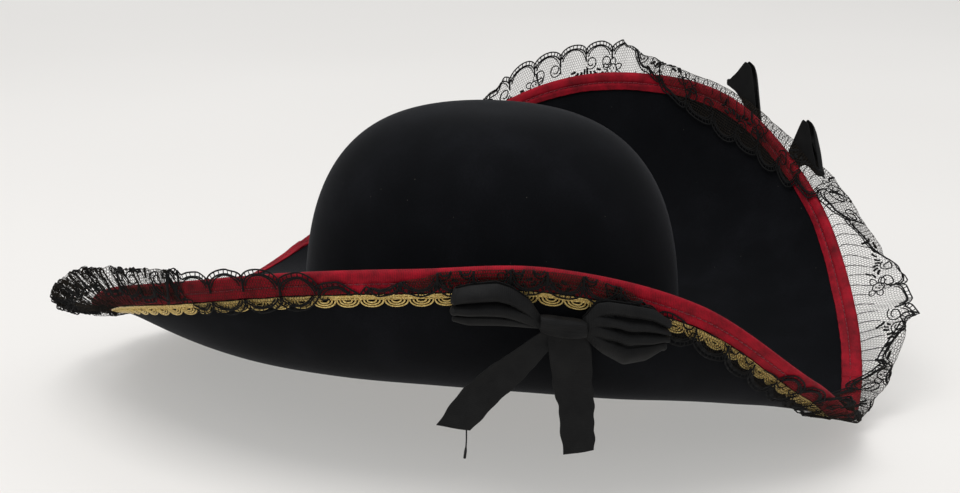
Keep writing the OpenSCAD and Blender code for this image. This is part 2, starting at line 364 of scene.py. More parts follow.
def straight_curve(stations: Array, azimuth: Array, column: int) -> Array:
    """Closed curve through stations with eased steps between them, and no overshoot.

    Args:
        stations: rows that start with an azimuth in degrees, in order.
        azimuth: where to read the curve, in degrees.
        column: which column to read.

    Returns:
        The curve's value at each azimuth.
    """
    t = np.asarray(azimuth, float) % 360
    place = np.concatenate([stations[-1:, 0] - 360, stations[:, 0], stations[:1, 0] + 360])
    value = np.concatenate([stations[-1:, column], stations[:, column], stations[:1, column]])
    i = np.clip(np.searchsorted(place, t, side="right") - 1, 0, len(place) - 2)
    s = ease((t - place[i]) / (place[i + 1] - place[i]))
    return value[i] + (value[i + 1] - value[i]) * s


def set_in_hat(azimuth: Array, radius: Array, height: Array) -> Array:
    """Place radius and height at an azimuth: (r sin t, -r cos t, z)."""
    t = np.radians(azimuth)
    r, z = np.broadcast_arrays(radius, height)
    return np.stack([r * np.sin(t), -r * np.cos(t), z], -1)


def ripple(x: Array, waves: list[tuple[float, float, float]]) -> Array:
    """Sum of sines over x, each given as (wavelength, amplitude, phase)."""
    total = np.zeros_like(np.asarray(x, float))
    for length, amplitude, phase in waves:
        total = total + amplitude * np.sin(2 * np.pi * x / length + phase)
    return total


# ---- The blocked form ---------------------------------------------------


@dataclass
class BrimForm:
    """The blocked felt brim, as a surface in azimuth, depth and height off.

    Each section is a quadratic curve from the head line over the fold to the
    edge. Depth is measured along it from the edge inwards, and height off the
    middle of the felt is positive on the outer face.
    """

    half_length: float = 101.0
    half_width: float = 84.0
    fold_flat: float = 0.6
    fold_up: float = 0.92
    full_lift: float = 70.0
    azimuth_step: float = 0.25
    depth_step: float = 0.5
    past_edge: float = 45.0
    longest: float = 165.0
    stations: Array = field(default_factory=lambda: np.array([
        [0, 194, -30, -26], [20, 192, 0, -22], [40, 189, 50, -14], [60, 180, 91, -10],
        [80, 169, 100, -8], [100, 169, 89, -8], [120, 181, 54, -8], [140, 195, 6, -6],
        [160, 200, -24, -8], [180, 206, -16, -6], [200, 208, 3, -2], [220, 198, 31, -5],
        [240, 186, 50, -6], [260, 175, 64, -5], [280, 171, 71, -4], [300, 176, 73, -9],
        [320, 189, 54, -18], [340, 199, 6, -27]], float))

    def __post_init__(self) -> None:
        """Tabulate every section, so that any point is read by interpolation."""
        t = np.arange(0, 360, self.azimuth_step)
        q0 = np.stack([self.head_radius(t), 0 * t], -1)
        r, z = closed_curve(self.stations, t, 1), closed_curve(self.stations, t, 2)
        share = self.fold_flat + (self.fold_up - self.fold_flat) * ease(z / self.full_lift)
        q1 = np.stack([q0[:, 0] + (r - q0[:, 0]) * share, closed_curve(self.stations, t, 3)], -1)
        q2 = np.stack([r, z], -1)
        u = np.linspace(1, 0, 97)[None, :, None]
        line = (1 - u) ** 2 * q0[:, None] + 2 * u * (1 - u) * q1[:, None] + u * u * q2[:, None]
        run = np.concatenate([np.zeros((len(t), 1)),
                              np.cumsum(np.linalg.norm(np.diff(line, axis=1), axis=2), 1)], 1)
        self.whole = run[:, -1]
        depth = np.arange(-self.past_edge, self.longest, self.depth_step)
        place = np.stack([np.interp(depth, run[k], u[0, :, 0]) for k in range(len(t))])[..., None]
        heading = (1 - place) * (q1 - q0)[:, None] + place * (q2 - q1)[:, None]
        heading /= np.linalg.norm(heading, axis=2, keepdims=True)
        middle = ((1 - place) ** 2 * q0[:, None] + 2 * place * (1 - place) * q1[:, None]
                  + place * place * q2[:, None])
        middle = middle + heading * np.maximum(0, -depth)[None, :, None]
        self.table = np.concatenate([middle, heading], 2)
        edge = set_in_hat(t, r, z)
        step = np.linalg.norm(np.roll(edge, -1, 0) - edge, axis=1)
        self.run = np.concatenate([[0], np.cumsum(step)])
        self.turns = np.arange(0, 360 + self.azimuth_step / 2, self.azimuth_step)

    @property
    def edge_length(self) -> float:
        """Length round the edge, in mm."""
        return float(self.run[-1])

    def head_radius(self, azimuth: Array, inset: float | Array = 0.0) -> Array:
        """Radius of the head ellipse outside the felt, less an inset."""
        t = np.radians(azimuth)
        return 1 / np.sqrt((np.cos(t) / (self.half_length - inset)) ** 2
                           + (np.sin(t) / (self.half_width - inset)) ** 2)

    def distance(self, azimuth: Array) -> Array:
        """Distance round the edge from the front point to an azimuth, in mm."""
        t = np.asarray(azimuth, float)
        return np.interp(t % 360, self.turns, self.run) + np.floor(t / 360) * self.edge_length

    def azimuth(self, distance: Array) -> Array:
        """Azimuth of a distance round the edge from the front point."""
        d = np.asarray(distance, float)
        whole = self.edge_length
        return np.interp(d % whole, self.run, self.turns) + np.floor(d / whole) * 360

    def length_at(self, azimuth: Array) -> Array:
        """Length of the section at an azimuth, from the edge to the head line."""
        t = np.asarray(azimuth, float) % 360
        return np.interp(t, self.turns, np.append(self.whole, self.whole[0]))

    def skin(self, azimuth: Array, depth: Array, off: Array | float = 0.0) -> Array:
        """Point at a depth below the edge and a height off the felt's middle.

        Args:
            azimuth: in degrees.
            depth: in mm from the edge inwards, negative past the edge.
            off: in mm, positive on the outer face.

        Returns:
            Points in mm, with a last axis of 3.
        """
        azimuth, depth, off = np.broadcast_arrays(azimuth, depth, off)
        n, m = self.table.shape[:2]
        a = (azimuth % 360) / self.azimuth_step
        d = np.clip((depth + self.past_edge) / self.depth_step, 0, m - 1.001)
        i, j = np.floor(a).astype(int), np.floor(d).astype(int)
        fa, fd = (a - i)[..., None], (d - j)[..., None]
        i, k = i % n, (i + 1) % n
        read = self.table
        value = ((1 - fa) * ((1 - fd) * read[i, j] + fd * read[i, j + 1])
                 + fa * ((1 - fd) * read[k, j] + fd * read[k, j + 1]))
        radius = value[..., 0] + off * value[..., 3]
        height = value[..., 1] - off * value[..., 2]
        return set_in_hat(azimuth, radius, height)

    def outward(self, azimuth: Array, depth: Array) -> Array:
        """Unit direction away from the outer face."""
        return self.skin(azimuth, depth, 1.0) - self.skin(azimuth, depth, 0.0)

    def beside(self, azimuth: float, distance: Array) -> Array:
        """Azimuth of a point a distance along the edge, on a circle of its radius."""
        radius = closed_curve(self.stations, np.array([azimuth]), 1)[0]
        return azimuth + np.asarray(distance) / radius * 180 / np.pi


# ---- Finishes -----------------------------------------------------------


@dataclass(frozen=True)
class WoolFelt:
    """Blocked wool felt, pressed and stiffened: matte, with a short soft nap.

    Fibres a few tenths of a millimetre apart break up the black, and the nap
    gives a faint grey bloom at grazing light.
    """

    dark: str = "#020305"
    middle: str = "#06070a"
    light: str = "#121317"
    fibre_mm: float = 0.7
    cloud_mm: float = 28.0
    nap_depth_mm: float = 0.10

    def build(self) -> bpy.types.Material:
        """Make the material."""
        material, tree, shader = new_material("wool_felt_blocked")
        place = put(tree, "TexCoord").outputs["Object"]
        fibre = put(tree, "TexNoise", {"Vector": place, "Scale": 1 / (self.fibre_mm * MM),
                                       "Detail": 5.0, "Roughness": 0.7, "Distortion": 1.2})
        cloud = put(tree, "TexNoise", {"Vector": place, "Scale": 1 / (self.cloud_mm * MM),
                                       "Detail": 3.0})
        blend = put(tree, "Mix", {"Factor": 0.45, "A": fibre.outputs["Fac"],
                                  "B": cloud.outputs["Fac"]}, data_type="FLOAT")
        colour = ramp(tree, blend.outputs["Result"],
                      [(0.3, self.dark), (0.5, self.middle), (0.72, self.light)])
        # Stray pale fibres and dust, one or two in a square centimetre
        lint = put(tree, "TexVoronoi", {"Vector": place, "Scale": 1 / (7.0 * MM),
                                        "Randomness": 1.0})
        speck = put(tree, "MapRange", {"Value": lint.outputs["Distance"], "From Min": 0.018,
                                       "From Max": 0.03, "To Min": 0.35, "To Max": 0.0})
        dusted = put(tree, "Mix", {"Factor": speck.outputs["Result"], "A": colour,
                                   "B": linear("#8f8a80")}, data_type="RGBA")
        tree.links.new(dusted.outputs["Result"], shader.inputs["Base Color"])
        bump = put(tree, "Bump", {"Height": fibre.outputs["Fac"], "Strength": 0.5,
                                  "Distance": self.nap_depth_mm * MM * 2})
        tree.links.new(bump.outputs["Normal"], shader.inputs["Normal"])
        shader.inputs["Roughness"].default_value = 0.92
        shader.inputs["Specular IOR Level"].default_value = 0.10
        shader.inputs["Sheen Weight"].default_value = 0.14
        shader.inputs["Sheen Roughness"].default_value = 0.28
        shader.inputs["Sheen Tint"].default_value = linear("#a2a3a8")
        return material


@dataclass(frozen=True)
class WovenTape:
    """Woven tape or ribbon: ribs across its length and a fine warp along it.

    The ribs catch the light as faint lines, and the weave gives a low sheen.
    The flat coordinates are in mm, along and across the tape. Ribs finer than
    a millimetre are drawn a little coarse so that they show.
    """

    name: str
    dark: str
    light: str
    rib_mm: float
    rib_depth_mm: float
    roughness: float
    sheen: str
    sheen_weight: float = 0.3
    warp_mm: float = 0.55
    patch_mm: float = 9.0

    def build(self) -> bpy.types.Material:
        """Make the material."""
        material, tree, shader = new_material(self.name)
        flat = put(tree, "UVMap", uv_map="Flat").outputs["UV"]
        split = put(tree, "SeparateXYZ", {"Vector": flat})
        rib_turn = put(tree, "Math", {0: split.outputs["X"], 1: 2 * math.pi / self.rib_mm},
                       operation="MULTIPLY")
        warp_turn = put(tree, "Math", {0: split.outputs["Y"], 1: 2 * math.pi / self.warp_mm},
                        operation="MULTIPLY")
        rib = put(tree, "Math", {0: rib_turn.outputs[0]}, operation="SINE")
        warp = put(tree, "Math", {0: warp_turn.outputs[0]}, operation="SINE")
        weave = put(tree, "Math", {0: warp.outputs[0], 1: 0.35, 2: rib.outputs[0]},
                    operation="MULTIPLY_ADD")
        place = put(tree, "TexCoord").outputs["Object"]
        patch = put(tree, "TexNoise", {"Vector": place, "Scale": 1 / (self.patch_mm * MM),
                                       "Detail": 4.0, "Roughness": 0.6})
        slub = put(tree, "TexNoise", {"Vector": place, "Scale": 1 / (0.5 * MM), "Detail": 3.0})
        shade = put(tree, "Math", {0: weave.outputs[0], 1: 0.09, 2: patch.outputs["Fac"]},
                    operation="MULTIPLY_ADD")
        fuzz = put(tree, "Math", {0: slub.outputs["Fac"], 1: 0.35, 2: shade.outputs[0]},
                   operation="MULTIPLY_ADD")
        colour = ramp(tree, fuzz.outputs[0], [(0.42, self.dark), (0.92, self.light)])
        tree.links.new(colour, shader.inputs["Base Color"])
        height = put(tree, "Math", {0: slub.outputs["Fac"], 1: 0.8, 2: weave.outputs[0]},
                     operation="MULTIPLY_ADD")
        bump = put(tree, "Bump", {"Height": height.outputs[0], "Strength": 0.6,
                                  "Distance": self.rib_depth_mm * MM})
        tree.links.new(bump.outputs["Normal"], shader.inputs["Normal"])
        shader.inputs["Roughness"].default_value = self.roughness
        shader.inputs["Specular IOR Level"].default_value = 0.15
        shader.inputs["Sheen Weight"].default_value = self.sheen_weight
        shader.inputs["Sheen Roughness"].default_value = 0.4
        shader.inputs["Sheen Tint"].default_value = linear(self.sheen)
        return material


@dataclass(frozen=True)
class SpunThread:
    """Spun sewing or lace thread: two plies twisted together, slightly fuzzy.

    The twist reads as fine slanting bands, which the flat coordinates carry
    along the thread.
    """

    name: str
    dark: str
    light: str
    twist_mm: float = 0.9
    roughness: float = 0.7
    sheen_weight: float = 0.2

    def build(self) -> bpy.types.Material:
        """Make the material."""
        material, tree, shader = new_material(self.name)
        flat = put(tree, "UVMap", uv_map="Flat").outputs["UV"]
        split = put(tree, "SeparateXYZ", {"Vector": flat})
        slant = put(tree, "Math", {0: split.outputs["X"], 1: split.outputs["Y"]}, operation="ADD")
        turn = put(tree, "Math", {0: slant.outputs[0], 1: 2 * math.pi / self.twist_mm},
                   operation="MULTIPLY")
        ply = put(tree, "Math", {0: turn.outputs[0]}, operation="SINE")
        place = put(tree, "TexCoord").outputs["Object"]
        fuzz = put(tree, "TexNoise", {"Vector": place, "Scale": 1 / (1.5 * MM), "Detail": 3.0})
        tone = put(tree, "Math", {0: ply.outputs[0], 1: 0.2, 2: fuzz.outputs["Fac"]},
                   operation="MULTIPLY_ADD")
        colour = ramp(tree, tone.outputs[0], [(0.25, self.dark), (0.8, self.light)])
        tree.links.new(colour, shader.inputs["Base Color"])
        bump = put(tree, "Bump", {"Height": ply.outputs[0], "Strength": 0.5,
                                  "Distance": 0.05 * MM})
        tree.links.new(bump.outputs["Normal"], shader.inputs["Normal"])
        shader.inputs["Roughness"].default_value = self.roughness
        shader.inputs["Specular IOR Level"].default_value = 0.22
        shader.inputs["Sheen Weight"].default_value = self.sheen_weight
        return material


@dataclass(frozen=True)
class MetallicThread:
    """Metallised foil wound round a yellow centre thread: dull gold with glints.

    The metallic shine is real shading, but the base colour also holds painted glints: bright
    foil-coloured spots set by noise, not by where the foil faces the light. Between the windings,
    about half a millimetre apart, the centre thread's brownish colour shows, darkened as painted
    shade of the grooves.
    """

    # Brown of the centre thread, darkened as painted shade of the grooves
    core_and_painted_shade: str = "#7a5a22"
    foil: str = "#f5e09a"
    winding_mm: float = 0.55
    roughness: float = 0.34

    def build(self) -> bpy.types.Material:
        """Make the material."""
        material, tree, shader = new_material("metallised_gimp_gold")
        flat = put(tree, "UVMap", uv_map="Flat").outputs["UV"]
        split = put(tree, "SeparateXYZ", {"Vector": flat})
        slant = put(tree, "Math", {0: split.outputs["X"], 1: split.outputs["Y"]}, operation="ADD")
        turn = put(tree, "Math", {0: slant.outputs[0], 1: 2 * math.pi / self.winding_mm},
                   operation="MULTIPLY")
        winding = put(tree, "Math", {0: turn.outputs[0]}, operation="SINE")
        place = put(tree, "TexCoord").outputs["Object"]
        # Painted glints: noise spots that lift the base colour towards the pale foil stop
        glint = put(tree, "TexNoise", {"Vector": place, "Scale": 1 / (0.9 * MM), "Detail": 3.0,
                                       "Roughness": 0.7})
        tone = put(tree, "Math", {0: winding.outputs[0], 1: 0.22, 2: glint.outputs["Fac"]},
                   operation="MULTIPLY_ADD")
        # The darkest stop, between the windings, is painted shade of the grooves over the thread's
        # brown; the palest stop carries the painted glints
        colour = ramp(tree, tone.outputs[0], [(0.3, self.core_and_painted_shade), (0.48, "#cba64a"), (0.68, self.foil)])
        tree.links.new(colour, shader.inputs["Base Color"])
        bump = put(tree, "Bump", {"Height": tone.outputs[0], "Strength": 0.8,
                                  "Distance": 0.12 * MM})
        tree.links.new(bump.outputs["Normal"], shader.inputs["Normal"])
        shader.inputs["Metallic"].default_value = 0.65
        shader.inputs["Roughness"].default_value = self.roughness
        return material


@dataclass(frozen=True)
class DrawnSteel:
    """Galvanised millinery wire: drawn steel, satin, streaked along its length."""

    colour: str = "#a9acb0"
    streak_mm: float = 0.4
    roughness: float = 0.38

    def build(self) -> bpy.types.Material:
        """Make the material."""
        material, tree, shader = new_material("drawn_steel_wire")
        place = put(tree, "TexCoord").outputs["Object"]
        streak = put(tree, "TexNoise", {"Vector": place, "Scale": 1 / (self.streak_mm * MM),
                                        "Detail": 4.0})
        colour = ramp(tree, streak.outputs["Fac"], [(0.3, "#7e8286"), (0.7, self.colour)])
        tree.links.new(colour, shader.inputs["Base Color"])
        rough = put(tree, "MapRange", {"Value": streak.outputs["Fac"], "To Min": 0.25,
                                       "To Max": 0.55})
        tree.links.new(rough.outputs["Result"], shader.inputs["Roughness"])
        bump = put(tree, "Bump", {"Height": streak.outputs["Fac"], "Strength": 0.3,
                                  "Distance": 0.03 * MM})
        tree.links.new(bump.outputs["Normal"], shader.inputs["Normal"])
        shader.inputs["Metallic"].default_value = 1.0
        return material


class Finish(Enum):
    """Every finish on the hat, each made once."""

    FELT = WoolFelt()
    CRIMSON_TAPE = WovenTape("crimson_woven_tape", "#50020d", "#9e081f", 0.8, 0.06, 0.7,
                             "#d02038", 0.06)
    CRIMSON_THREAD = SpunThread("crimson_sewing_thread", "#40040f", "#850f24")
    GOLD = MetallicThread()
    LACE_CORD = SpunThread("black_lace_cordonnet", "#020202", "#0a0a0b", 1.2, 0.85, 0.0)
    LACE_NET = SpunThread("fine_black_net_thread", "#0e0a05", "#241c11", 1.2, 0.85, 0.0)
    RIBBON = WovenTape("black_satin_ribbon", "#050506", "#131313", 0.75, 0.05, 0.62,
                       "#a8a6a0", 0.05)
    BLACK_THREAD = SpunThread("black_sewing_thread", "#060607", "#161618", 0.9, 0.7, 0.05)
    SWEATBAND = WovenTape("tan_grosgrain_sweatband", "#7d6240", "#c09c6c", 1.1, 0.12, 0.8,
                          "#f0dcb8", 0.25)
    TAN_THREAD = SpunThread("tan_sewing_thread", "#6d5533", "#b39463")
    WIRE = DrawnSteel()


FINISHES: dict[str, bpy.types.Material] = {}


def dress(finish: Finish) -> bpy.types.Material:
    """Return a finish's material, made once.

    Args:
        finish: which one.

    Returns:
        Its material.
    """
    if finish.name not in FINISHES:
        FINISHES[finish.name] = finish.value.build()
    return FINISHES[finish.name]


# ---- Felt ---------------------------------------------------------------


@dataclass
class FeltBody:
    """The felt crown and brim, blocked from one piece."""

    form: BrimForm
    height: float = CROWN_HEIGHT
    shoulder: float = CROWN_SHOULDER
    taper: float = CROWN_TAPER
    turns: int = 288

    def dome(self, azimuth: Array, rise_share: Array, inset: float) -> Array:
        """Point on the dome: a superellipse arc from the head line to the top.

        Rise is sin(90 v)^(2/s) and the radius narrows as cos(90 v)^(2/s), less a
        small taper, where s is how square the shoulder is.

        Args:
            azimuth: in degrees.
            rise_share: v, from 0 at the head line to 1 at the top.
            inset: distance inside the outer face.

        Returns:
            Points in mm.
        """
        quarter = np.radians(90 * rise_share)
        rise = np.sin(quarter) ** (2 / self.shoulder)
        narrow = np.maximum(np.cos(quarter), 0) ** (2 / self.shoulder) * (1 - self.taper * rise)
        radius = self.form.head_radius(azimuth, inset) * narrow
        z = FELT / 2 + (self.height - inset - FELT / 2) * rise
        # The foot of the outer face flares into the brim like blocked felt
        foot = np.exp(-(z - FELT / 2) / 2.2) * (1.6 if inset == 0 else 0.0)
        # Hand blocking leaves slow hollows under a millimetre deep
        sway = 0.45 * np.sin(np.radians(3 * azimuth + 40)) * np.sin(quarter * 2)
        return set_in_hat(azimuth, radius + foot + sway * narrow, z)

    def crown(self) -> bpy.types.Object:
        """Build the crown as one closed shell, with an outer and an inner face."""
        rows = 72
        azimuth = np.arange(self.turns) * 360 / self.turns
        v = 0.9999 * (1 - (1 - np.linspace(0, 1, rows)) ** 1.6)
        outer = self.dome(azimuth[:, None], v[None, ::-1], 0.0)
        inner = self.dome(azimuth[:, None], v[None], FELT)
        grid = np.concatenate([outer, inner], 1)
        across = np.concatenate([v[::-1], 2 + v]) * self.height
        sheet = Sheet()
        sheet.add_grid(grid, self._flat(azimuth, 95.0, across), close_u=True, flip=True)
        first = np.arange(self.turns) * grid.shape[1]
        sheet.add_fan(first, np.array([0.0, 0.0, self.height]))
        sheet.add_fan(first + grid.shape[1] - 1, np.array([0.0, 0.0, self.height - FELT]), True)
        crown = sheet.build("crown_felt", dress(Finish.FELT))
        return settle(crown, "felt", "crown")

    def brim(self) -> bpy.types.Object:
        """Build the brim: its section carried all round, with a rounded edge."""
        form = self.form
        azimuth = np.arange(self.turns * 5 // 4) * 360 / (self.turns * 5 / 4)
        rows = 56
        share = np.linspace(1, 0, rows) ** 1.25
        whole = form.length_at(azimuth)[:, None]
        depth = whole * share[None, :]
        upper = form.skin(azimuth[:, None], depth, -FELT / 2)
        under = form.skin(azimuth[:, None], depth[:, ::-1], FELT / 2)
        inner = set_in_hat(azimuth, form.head_radius(azimuth, FELT), 0 * azimuth + FELT / 2)
        lower = set_in_hat(azimuth, form.head_radius(azimuth, FELT), 0 * azimuth - FELT / 2)
        grid = np.concatenate([inner[:, None], upper, under, lower[:, None]], 1)
        across = np.linspace(0, 240, grid.shape[1] + 1)
        sheet = Sheet()
        sheet.add_grid(grid, self._flat(azimuth, 200.0, across), close_u=True, close_v=True,
                       flip=True)
        brim = sheet.build("brim_felt", dress(Finish.FELT))
        return settle(brim, "felt", "brim_front", "brim_left", "brim_rear", "brim_right")

    @staticmethod
    def _flat(azimuth: Array, radius: float, across: Array) -> Array:
        """Flat coordinates of a ring of sections, one longer each way."""
        along = np.append(azimuth, 360.0) * np.pi / 180 * radius
        u, v = np.meshgrid(along, across, indexing="ij")
        return np.stack([u, v], -1)


# ---- Edge ---------------------------------------------------------------


@dataclass
class EdgeBinding:
    """Crimson tape folded over the wired edge, and the thread that holds it."""

    form: BrimForm
    stitch: float = 3.2
    thread: float = 0.26
    pucker: float = 0.24
    laps: tuple[float, ...] = (8.0, 147.0)

    @property
    def stitches(self) -> int:
        """Number of stitches round the edge."""
        return round(self.form.edge_length / self.stitch)

    def relief(self, azimuth: Array, depth: Array) -> Array:
        """Height of the tape's face over flat, in mm.

        The tape puffs up on each side of the row of stitches and is drawn down
        in the row, a little deeper at each needle hole. Its selvedge lifts.

        Args:
            azimuth: in degrees.
            depth: in mm below the edge.

        Returns:
            Heights in mm.
        """
        beat = self.form.distance(azimuth) / self.form.edge_length * self.stitches * 2 * np.pi
        groove = np.exp(-((depth - STITCH_DEPTH) / 0.65) ** 2)
        puff = np.exp(-((np.abs(depth - STITCH_DEPTH) - 1.8) / 1.1) ** 2)
        slow = 0.6 + 0.4 * np.sin(beat * 0.11 + 1.3) * np.sin(beat * 0.043)
        return (-0.38 * groove * (1 + 0.4 * np.cos(beat)) + self.pucker * puff * slow
                * (1 + 0.6 * np.cos(beat + 0.4)))

    def tape(self) -> bpy.types.Object:
        """Build the tape: its section carried all round the edge."""
        form = self.form
        azimuth = form.azimuth(np.arange(1500) / 1500 * form.edge_length)
        face = np.array([8, 7.7, 6.8, 5.8, 5.0, 4.5, 4.0, 3.6, 3.2, 2.8, 2.2, 1.4, 0.6])
        angle = np.radians(np.linspace(0, 180, 9))
        cap_depth, cap_off = -2.35 * np.sin(angle), TAPE_OUTER * np.cos(angle)
        outer_depth = np.concatenate([face, cap_depth, face[::-1]])
        outer_off = np.concatenate([0 * face + TAPE_OUTER, cap_off, 0 * face - TAPE_OUTER])
        side = np.concatenate([0 * face + 1, np.zeros(9), 0 * face - 1])
        inner_depth = np.array([8, 3.6, 0, -1.75, -1.75, 0, 3.6, 8])
        inner_off = np.array([-TAPE_INNER, -TAPE_INNER, -TAPE_INNER, -0.7, 0.7,
                              TAPE_INNER, TAPE_INNER, TAPE_INNER])
        depth = np.concatenate([outer_depth, inner_depth])[None, :]
        off = np.concatenate([outer_off, inner_off])[None, :]
        lift = np.concatenate([side, np.zeros(8)])[None, :]
        off = off + lift * self.relief(azimuth[:, None], depth)
        # The selvedge isn't quite straight
        selvedge = ripple(form.distance(azimuth), [(31.0, 0.12, 0.4), (7.3, 0.06, 1.0)])
        depth = depth + np.where(depth > 7.5, selvedge[:, None], 0.0)
        grid = form.skin(azimuth[:, None], depth, off)
        run = form.distance(azimuth)
        run = np.append(run, form.edge_length)
        round_tape = np.concatenate([[0], np.cumsum(np.hypot(np.diff(depth[0]), np.diff(off[0])))])
        u, v = np.meshgrid(run, np.append(round_tape, round_tape[-1] + 1), indexing="ij")
        sheet = Sheet()
        sheet.add_grid(grid, np.stack([u, v], -1), close_u=True, close_v=True)
        for lap in self.laps:
            self._lap(sheet, lap)
        tape = sheet.build("crimson_tape", dress(Finish.CRIMSON_TAPE))
        return settle(tape, "crimson_tape", "edge_binding")

    def _lap(self, sheet: Sheet, azimuth: float) -> None:
        """Add the turned-under end of the tape, lying on its start.

        Args:
            sheet: the mesh in the making.
            azimuth: where the end lies.
        """
        form = self.form
        x = np.linspace(0, 14, 15)
        angle = form.azimuth(form.distance(np.array(azimuth)) + x)
        face = np.array([7.9, 7.3, 5.8, 4.4, 3.6, 2.8, 1.6, 0.6])
        turn = np.radians(np.linspace(0, 180, 9))
        depth = np.concatenate([face, -2.5 * np.sin(turn), face[::-1]])
        off = np.concatenate([0 * face + TAPE_OUTER, TAPE_OUTER * np.cos(turn),
                              0 * face - TAPE_OUTER])
        out = np.concatenate([0 * face + 1, np.cos(turn), 0 * face - 1])
        # Height over the tape below: full at the fold, thinning away over 14 mm
        height = 0.75 * np.sqrt(np.clip(x / 0.6, 0, 1)) * ease((14 - x) / 9) - 0.1
        top = off[None] + out[None] * (height[:, None] + self.relief(angle[:, None], depth[None]))
        base = off[None] - out[None] * 0.3
        loop_depth = np.concatenate([depth, depth[::-1]])
        loop_off = np.concatenate([top, np.broadcast_to(base[:, ::-1], top.shape)], 1)
        grid = form.skin(angle[:, None], loop_depth[None, :], loop_off)
        u, v = np.meshgrid(x, np.linspace(0, 60, grid.shape[1] + 1), indexing="ij")
        sheet.add_grid(grid, np.stack([u, v], -1), close_v=True, cap=True)

    def stitching(self) -> bpy.types.Object:
        """Build a row of lock stitches on each face."""
        form = self.form
        sheet = Sheet()
        step = form.edge_length / self.stitches
        share = np.linspace(-0.43, 0.43, 7)
        # Each stitch is an arc that dives into the tape at both ends
        arc = 0.42 * np.cos(share / 0.43 * np.pi / 2) - 0.30
        for face in (-1, 1):
            start = (np.arange(self.stitches)[:, None] + share[None]) * step
            azimuth = form.azimuth(start)
            off = face * (TAPE_OUTER - 0.1 + arc[None] + 0 * azimuth)
            path = form.skin(azimuth, STITCH_DEPTH + 0 * azimuth, off)
            normal = face * form.outward(azimuth, STITCH_DEPTH + 0 * azimuth)
            sheet.add_tubes(path, normal, self.thread, 5)
        thread = sheet.build("binding_stitches", dress(Finish.CRIMSON_THREAD))
        return settle(thread, "crimson_thread", "binding_stitching")


@dataclass
class GoldBraid:
    """Gimp braid: three straight cords, bars, and nested loops hanging from them."""

    form: BrimForm
    pitch: float = 11.3
    cord: float = 0.42
    back: float = FELT / 2 + 0.15

    def build(self) -> bpy.types.Object:
        """Build the braid from cords carried round the brim."""
        form = self.form
        sheet = Sheet()
        repeats = round(form.edge_length / self.pitch)
        step = form.edge_length / repeats
        lie = self.back + self.cord
        run = np.arange(1100) / 1100 * form.edge_length
        azimuth = form.azimuth(run)
        for k, depth in enumerate((BRAID_TOP + 0.45, BRAID_TOP + 1.25, BRAID_TOP + 2.05)):
            wander = ripple(run, [(5.65, 0.06, k), (19.0, 0.1, 2.0 * k)])
            place = depth + wander
            path = form.skin(azimuth, place, lie + 0.15 * (k == 0))[None]
            normal = form.outward(azimuth, place)[None]
            sheet.add_tubes(path, normal, self.cord * (1.05 - 0.05 * k), 7, closed=True)
        # Bars cross from cord to cord, two to each loop
        bar = np.arange(repeats * 5)[:, None] * step / 5 + 0 * np.linspace(0, 1, 4)[None]
        depth = BRAID_TOP + 0.3 + 1.9 * np.linspace(0, 1, 4)[None] + 0 * bar
        lift = lie + 0.34 * np.sin(np.linspace(0.3, np.pi - 0.3, 4))[None] + 0 * bar
        sheet.add_tubes(form.skin(form.azimuth(bar), depth, lift),
                        form.outward(form.azimuth(bar), depth), self.cord * 0.8, 5)
        # Nested half loops: an ellipse arc from the last cord down and back
        turn = np.linspace(0, np.pi, 17)
        for half, drop, rise in ((5.3, 3.5, 0.1), (3.7, 2.45, 0.2), (2.1, 1.4, 0.3)):
            middle = (np.arange(repeats)[:, None] + 0.5) * step
            x = middle - half * np.cos(turn)[None]
            place = BRAID_TOP + 2.2 + drop * np.sin(turn)[None] ** 0.8 + 0 * x
            t = form.azimuth(x)
            sheet.add_tubes(form.skin(t, place, lie + rise), form.outward(t, place),
                            self.cord, 6)
        braid = sheet.build("gold_gimp_braid", dress(Finish.GOLD))
        return settle(braid, "gold_braid", "gold_braid")


# ---- Lace ---------------------------------------------------------------


